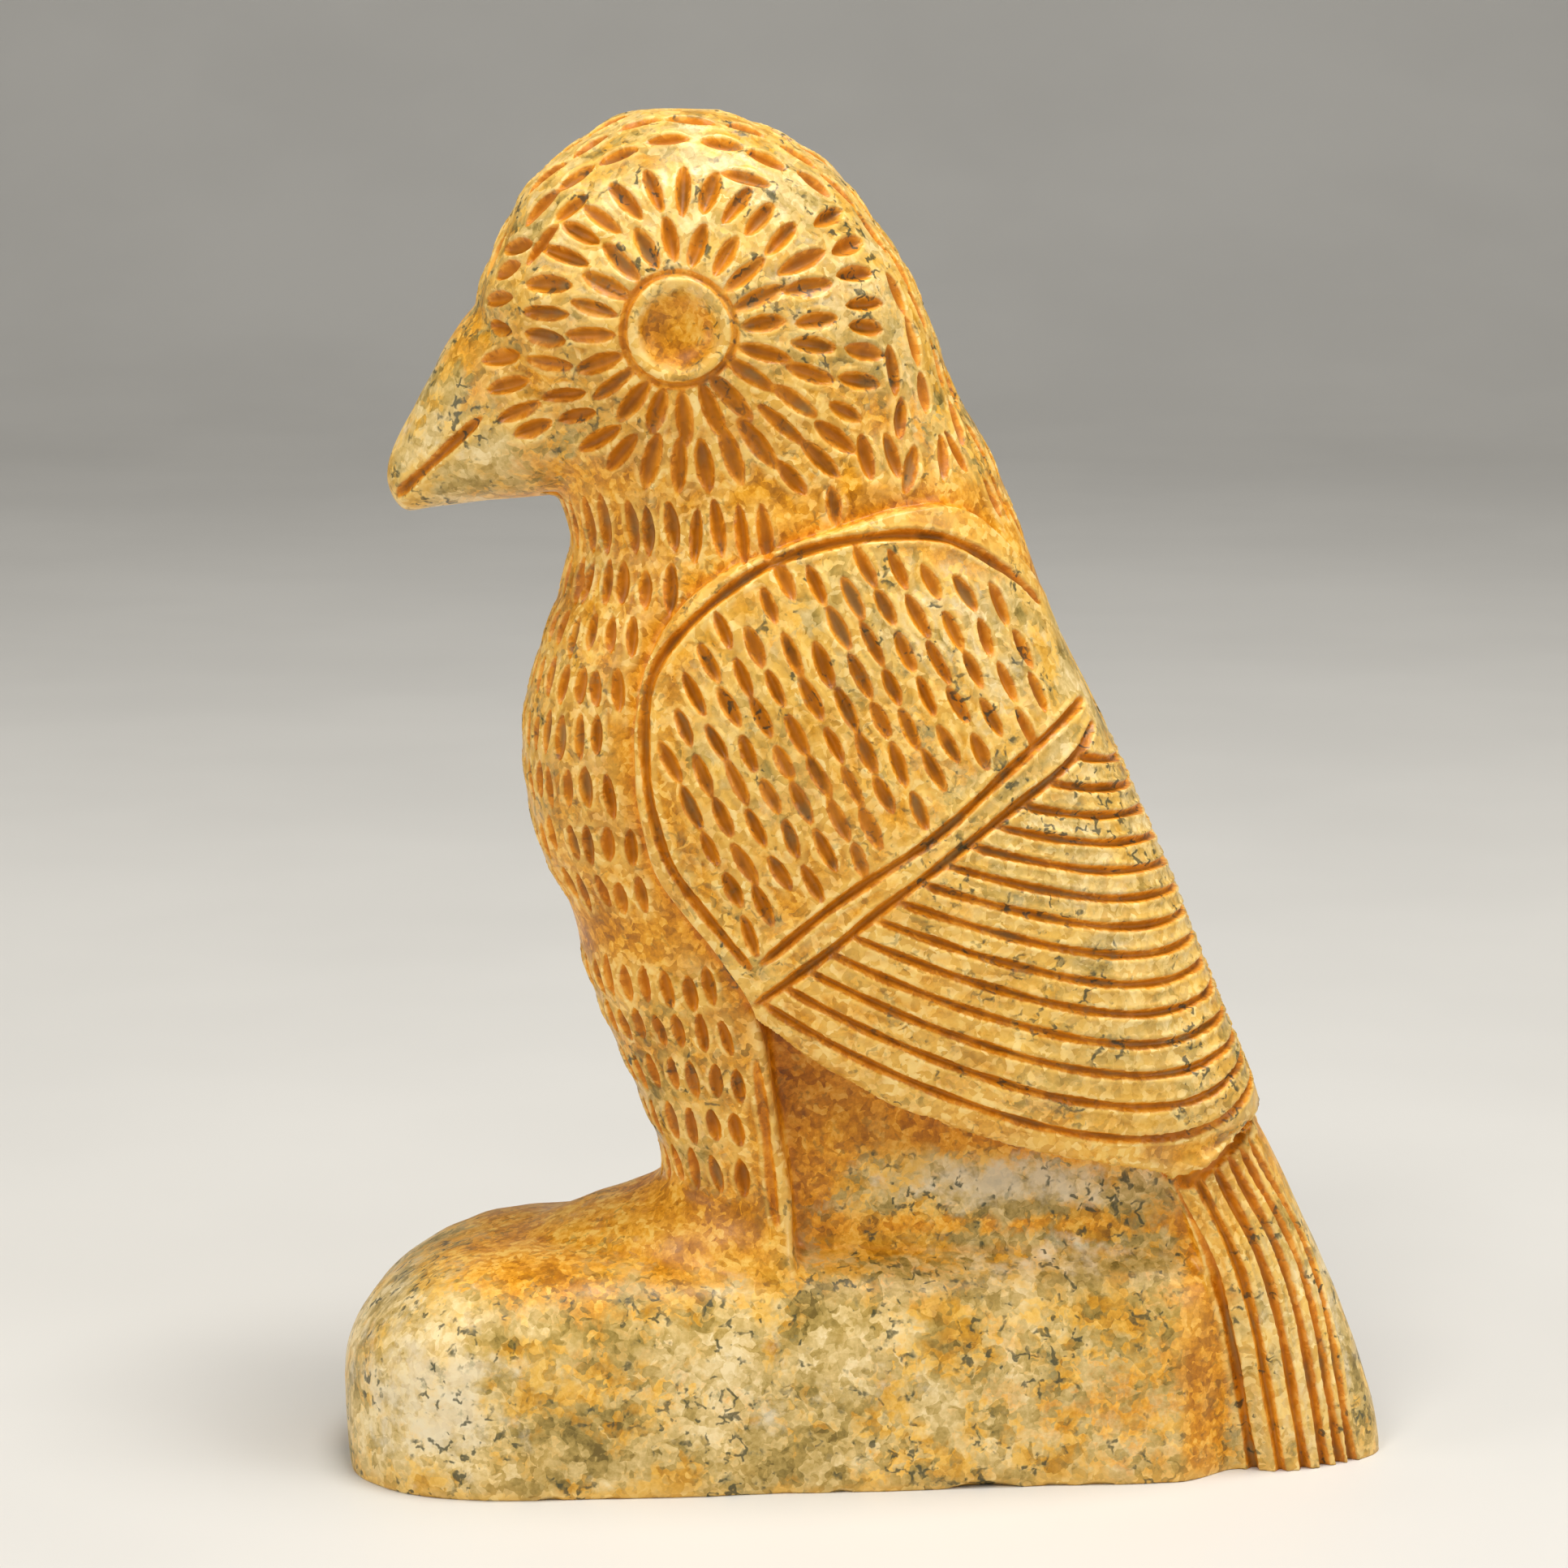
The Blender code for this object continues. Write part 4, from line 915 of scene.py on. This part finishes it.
def carved_bird():
    mesh = build_form()
    raise_wing(mesh)
    places = places_of(mesh)
    uneven = 0.10 * waves(places, 0.011, 3) + 0.05 * waves(places, 0.0045, 4)
    put_places(mesh, places + normals_of(mesh) * (uneven * UNIT)[:, None])
    relief = Relief(mesh, 11)
    bow_strips(relief)
    for side in (-1, 1):
        relief.side = side
        carve_eye(relief)
        carve_lines(relief)
        carve_rosette(relief)
        carve_crown(relief)
        carve_breast_and_legs(relief)
        carve_coverts(relief)
    carve_back_seam(relief)
    places = relief.finish()
    chip_edges(places)
    put_places(mesh, places)

    edges = np.empty(len(mesh.edges) * 2, dtype=np.int64)
    mesh.edges.foreach_get("vertices", edges)
    edges = edges.reshape(-1, 2).T
    degree = np.bincount(edges.ravel(), minlength=len(places)).astype(float)
    normals = normals_of(mesh)
    rounds = round((RIDGE_REACH / VOXEL) ** 2)
    smooth = neighbour_mean(places, edges, degree, rounds)
    stand = ((places - smooth) * normals).sum(axis=1)
    stand = neighbour_mean(stand[:, None], edges, degree, 1)[:, 0] / UNIT
    cut = neighbour_mean(relief.depth[:, None], edges, degree, 1)[:, 0] / UNIT
    rim = np.where(relief.depth > 0, 0, relief.rim) / (RIM_HEIGHT * UNIT)
    tree = tree_of(places)

    mesh = thinned(mesh, TRIANGLES)
    cut_flat(mesh)
    places = places_of(mesh)
    nearest = np.array([tree.find(place)[1] for place in places])
    points = side_view(places)
    mark(mesh, "hollow", cut[nearest] / 0.55)
    mark(mesh, "crease", -stand[nearest] / 0.16)
    edge = curve_distance(points, catmull_rom(WING_FRONT_EDGE, 4))
    within = inside(points, wing_outline())
    # The lip and the ridge mark make convex edges and the wing's rim cream: partly wear, partly
    # painted highlight; so does the rim mark round the cuts.
    lip = np.where(within, np.exp(-((edge - 1.1) / 0.7) ** 2), 0)
    rubbed = np.where(within, 0, np.exp(-(edge / 1.6) ** 2))
    mark(mesh, "ridge", stand[nearest] / 0.09 + 0.8 * lip)
    mark(mesh, "rim", rim[nearest])
    mark(mesh, "stain", np.maximum(blots(points, STAINS), 0.85 * rubbed))
    # The pale mark is partly the stone's own pale patches, partly painted sheen and light on lit
    # faces.
    mark(mesh, "pale", blots(points, PALES))
    # The mark below is painted shade: darker stone on the head's side, the leg and under the
    # wing.
    mark(mesh, "painted_shade", blots(points, PAINTED_SHADE_SPOTS))

    low, high = (np.array(corner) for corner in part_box("stone_bird"))
    middle = (places[:, 0].min() + places[:, 0].max()) / 2
    places[:, 0] += (low[0] + high[0]) / 2 - middle
    put_places(mesh, np.clip(places, low, high))
    mesh.shade_smooth()
    return linked("carved_bird", mesh)


def linear(red, green, blue):
    """A colour as the eye reads it, 0 to 255, turned into the shader's light values."""
    return tuple(((c / 255 + 0.055) / 1.055) ** 2.4 if c > 10 else c / 3295
                 for c in (red, green, blue)) + (1.0,)


class Nodes:
    """Short calls for the nodes of one material."""

    def __init__(self, tree):
        self.tree = tree

    def add(self, kind, sockets, **settings):
        node = self.tree.nodes.new("ShaderNode" + kind)
        for name, value in settings.items():
            setattr(node, name, value)
        for name, value in sockets.items():
            if isinstance(value, bpy.types.NodeSocket):
                self.tree.links.new(value, node.inputs[name])
            else:
                node.inputs[name].default_value = value
        return node

    def noise(self, vector, scale, detail=3.0, roughness=0.55, distortion=0.0):
        return self.add("TexNoise", {
            "Vector": vector, "Scale": scale, "Detail": detail, "Roughness": roughness,
            "Distortion": distortion}).outputs["Fac"]

    def maths(self, operation, first, second=0.0, third=None):
        sockets = {0: first, 1: second}
        if third is not None:
            sockets[2] = third
        return self.add("Math", sockets, operation=operation).outputs[0]

    def step(self, value, low, high, to_low=0.0, to_high=1.0):
        return self.add("MapRange", {
            "Value": value, "From Min": low, "From Max": high, "To Min": to_low,
            "To Max": to_high}, interpolation_type='SMOOTHSTEP').outputs["Result"]

    def mix(self, share, first, second, blend='MIX'):
        node = self.add("Mix", {0: share, 6: first, 7: second},
                        data_type='RGBA', blend_type=blend)
        return node.outputs[2]

    def ramp(self, value, stops):
        node = self.add("ValToRGB", {"Fac": value})
        elements = node.color_ramp.elements
        for position, colour in stops[2:]:
            elements.new(position)
        for element, (position, colour) in zip(elements, sorted(stops)):
            element.position = position
            element.color = linear(*colour)
        return node.outputs["Color"]

    def total(self, *parts):
        """The sum of values, each times its weight."""
        result = None
        for value, weight in parts:
            result = self.maths('MULTIPLY_ADD', value, weight, 0.0 if result is None else result)
        return result

    def patches(self, vector, scale):
        """One random number for each cell of a mosaic."""
        cell = self.add("TexVoronoi", {"Vector": vector, "Scale": scale})
        return self.add("SeparateColor", {0: cell.outputs["Color"]}).outputs[0]

    def mark(self, name):
        return self.add("Attribute", {}, attribute_name=name).outputs["Fac"]


def stone_material():
    """Cream and grey-green stone, ochre clouds, dark flecks, orange patina, painted shade, sheen
    and highlights.
    """
    material = bpy.data.materials.new("carved_stone")
    material.use_nodes = True
    tree = material.node_tree
    shader = tree.nodes["Principled BSDF"]
    n = Nodes(tree)
    where = n.add("TexCoord", {}).outputs["Object"]
    hollow, ridge = n.mark("hollow"), n.mark("ridge")
    stain, pale, painted_shade = n.mark("stain"), n.mark("pale"), n.mark("painted_shade")

    bent = n.add("TexNoise", {"Vector": where, "Scale": 700.0, "Detail": 2.0})
    bent = n.add("VectorMath", {0: bent.outputs["Color"], 3: 0.0016},
                 operation='SCALE').outputs[0]
    bent = n.add("VectorMath", {0: where, 1: bent}, operation='ADD').outputs[0]
    coarse, fine = n.patches(bent, 680), n.patches(bent, 1400)
    clouds = n.noise(where, 110, 5, 0.62, 0.4)
    grain = n.noise(where, 1700, 4, 0.65)
    # The pale mark lifts the tone, partly as painted light and sheen; the last weight darkens it
    # as painted shade.
    tone = n.total((clouds, 0.62), (coarse, 0.17), (fine, 0.12), (grain, 0.25), (pale, 0.10),
                   (painted_shade, -0.07))
    cool = n.ramp(tone, [
        (0.40, (108, 90, 38)), (0.47, (150, 127, 62)), (0.54, (182, 154, 84)),
        (0.60, (202, 174, 108)), (0.67, (224, 196, 132)), (0.78, (246, 224, 172))])
    ochre = n.ramp(tone, [
        (0.40, (132, 86, 8)), (0.47, (172, 116, 18)), (0.54, (198, 140, 30)),
        (0.60, (216, 160, 50)), (0.67, (232, 182, 78)), (0.78, (246, 204, 112))])
    hue = n.total((n.noise(where, 150, 4, 0.6, 0.3), 1.0), (fine, 0.16), (stain, 0.3),
                  (pale, -0.16))
    stone = n.mix(n.step(hue, 0.52, 0.68), cool, ochre)

    # The same here: the pale mark is partly painted light, the last weight is painted shade.
    warmth = n.total((n.noise(where, 170, 6, 0.7, 0.6), 0.7), (fine, 0.16), (grain, 0.3),
                     (pale, 0.10), (painted_shade, -0.05))
    orange = n.ramp(warmth, [
        (0.40, (150, 86, 0)), (0.50, (186, 114, 0)), (0.57, (216, 140, 10)),
        (0.64, (240, 168, 38)), (0.74, (253, 204, 96))])
    settled = n.total((stain, 0.85), (n.noise(where, 62, 3, 0.5, 0.3), 0.9),
                      (n.noise(where, 250, 6, 0.7, 0.8), 0.8), (coarse, 0.08), (fine, 0.22),
                      (pale, -0.35))
    settled = n.step(settled, 0.98, 1.34)
    # Near-white where the pale mark and the noise are strong: partly pale stone, partly painted
    # sheen.
    pale_and_sheen = n.total((pale, 0.5), (n.noise(where, 330, 4, 0.65), 1.0))
    pale_and_sheen = n.step(pale_and_sheen, 0.72, 1.0, 0.0, 0.7)
    stone = n.mix(pale_and_sheen, stone, linear(238, 226, 196))
    colour = n.mix(n.maths('MULTIPLY', settled, 0.9), stone, orange)

    # Convex edges, the wing's lip and the rims round the cuts turn cream: partly wear, partly
    # painted highlight.
    cream = n.ramp(fine, [(0.0, (224, 170, 72)), (0.5, (242, 196, 98)), (1.0, (253, 222, 146))])
    rubbed = n.step(n.noise(where, 300, 3), 0.35, 0.6, 0.4, 1.0)
    wear_and_highlight = n.maths('MULTIPLY', ridge, rubbed)
    wear_and_highlight = n.maths('MAXIMUM', wear_and_highlight, n.maths('MULTIPLY', n.mark("rim"), rubbed))
    colour = n.mix(n.maths('MULTIPLY', wear_and_highlight, 0.92), colour, cream)

    wall_tone = n.ramp(warmth, [
        (0.42, (168, 96, 0)), (0.54, (206, 122, 4)),
        (0.66, (234, 152, 26)), (0.80, (248, 184, 72))])
    floor_tone = n.ramp(n.noise(where, 160, 3, 0.6), [
        (0.34, (150, 112, 58)), (0.44, (172, 104, 6)),
        (0.56, (204, 126, 14)), (0.68, (138, 84, 4))])
    colour = n.mix(n.step(n.mark("crease"), 0.15, 1.0, 0.0, 0.85), colour, wall_tone)
    colour = n.mix(n.step(hollow, 0.04, 0.30, 0.0, 0.92), colour, wall_tone)
    colour = n.mix(n.step(hollow, 0.30, 1.0, 0.0, 0.9), colour, floor_tone)

    edge = n.add("TexVoronoi", {"Vector": bent, "Scale": 640.0},
                 feature='DISTANCE_TO_EDGE').outputs["Distance"]
    broken = n.step(n.noise(where, 820, 2, 0.5), 0.525, 0.575)
    cluster = n.step(n.noise(where, 190, 4, 0.65), 0.47, 0.57)
    fleck = n.maths('MULTIPLY', n.step(edge, 0.05, 0.13, 1.0, 0.0), broken)
    fleck = n.maths('MULTIPLY', fleck, cluster)
    murk = n.maths('MULTIPLY', n.step(n.noise(where, 420, 4, 0.7), 0.56, 0.66), cluster)
    clear = n.maths('SUBTRACT', 1.0, n.maths('MULTIPLY', settled, 0.6))
    colour = n.mix(n.maths('MULTIPLY', n.maths('MULTIPLY', murk, clear), 0.45), colour,
                   linear(112, 116, 84))
    colour = n.mix(n.maths('MULTIPLY', n.maths('MULTIPLY', fleck, clear), 0.85), colour,
                   linear(62, 66, 46))
    tree.links.new(colour, shader.inputs["Base Color"])
    shader.inputs["Specular IOR Level"].default_value = 0.32

    rough = n.step(n.noise(where, 260, 4, 0.6), 0.3, 0.7, 0.30, 0.46)
    rough = n.maths('ADD', rough, n.maths('MULTIPLY', hollow, 0.12))
    tree.links.new(rough, shader.inputs["Roughness"])
    height = n.total((n.noise(where, 3200, 4, 0.65), 0.35), (n.noise(where, 900, 5, 0.6), 0.65))
    bump = n.add("Bump", {"Strength": 0.35, "Distance": 0.00012, "Height": height})
    tree.links.new(bump.outputs["Normal"], shader.inputs["Normal"])
    return material


def plain_material(name, colour, roughness):
    material = bpy.data.materials.new(name)
    material.use_nodes = True
    tree = material.node_tree
    shader = tree.nodes["Principled BSDF"]
    n = Nodes(tree)
    where = n.add("TexCoord", {}).outputs["Object"]
    tint = n.step(n.noise(where, 9, 3), 0.3, 0.7, 0.97, 1.03)
    grey = n.add("CombineColor", {0: tint, 1: tint, 2: tint}).outputs[0]
    shade = n.mix(1.0, colour, grey, blend='MULTIPLY')
    tree.links.new(shade, shader.inputs["Base Color"])
    shader.inputs["Roughness"].default_value = roughness
    return material


def floor():
    """A plain pale sweep that curves up far behind the carving."""
    def build(bm):
        rows = [(-1.6, 0.0), (0.9, 0.0)]
        for k in range(1, 13):
            angle = math.radians(90 * k / 12)
            rows.append((0.9 + 0.5 * math.sin(angle), 0.5 - 0.5 * math.cos(angle)))
        rows.append((1.4, 2.2))
        pairs = [(bm.verts.new((-2.6, y, z)), bm.verts.new((2.6, y, z))) for y, z in rows]
        for (a, b), (c, d) in zip(pairs, pairs[1:]):
            bm.faces.new((a, b, d, c))
    obj = new_object("studio_floor", build)
    obj.data.shade_smooth()
    obj.data.materials.append(plain_material("pale_floor", linear(214, 212, 206), 0.55))
    return obj


LIGHT_AIM = Vector((0.0, 0.0, 0.06))
CAMERA_PLACE = (-0.00771, -0.450, 0.14582)
CAMERA_FALL = 10.0746  # degrees that it looks down


def area_light(name, place, size, power_watts, colour):
    data = bpy.data.lights.new(name, 'AREA')
    data.shape = 'DISK'
    data.size = size
    data.energy = power_watts
    data.color = colour
    obj = linked(name, data)
    obj.location = place
    obj.rotation_euler = (LIGHT_AIM - Vector(place)).to_track_quat('-Z', 'Y').to_euler()


def light_and_camera():
    """Soft studio light, and the photo's own viewing angle."""
    scene = bpy.context.scene
    scene.view_settings.view_transform = 'Standard'
    world = bpy.data.worlds.new("studio")
    world.use_nodes = True
    back = world.node_tree.nodes["Background"]
    back.inputs["Color"].default_value = (1.0, 0.98, 0.95, 1.0)
    back.inputs["Strength"].default_value = 0.13
    scene.world = world
    area_light("key", (-0.35, -0.55, 0.80), 0.26, 3.4, (1.0, 0.98, 0.95))
    area_light("top", (0.15, -0.10, 0.95), 0.40, 8.0, (1.0, 0.98, 0.96))
    area_light("window", (-0.85, -0.40, 0.30), 0.45, 1.9, (1.0, 0.99, 0.97))
    area_light("fill", (0.75, -0.50, 0.45), 0.5, 2.6, (0.99, 0.99, 1.0))
    camera_data = bpy.data.cameras.new("camera")
    camera_data.lens = 109.2
    camera_data.sensor_width = 36.0
    camera_data.clip_start = 0.01
    camera = linked("camera", camera_data)
    camera.location = CAMERA_PLACE
    camera.rotation_euler = (math.radians(90 - CAMERA_FALL), 0.0, 0.0)
    scene.camera = camera


light_and_camera()
bird = carved_bird()
bird.data.materials.append(stone_material())
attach(bird, "root")
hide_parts("stone_bird")
floor()
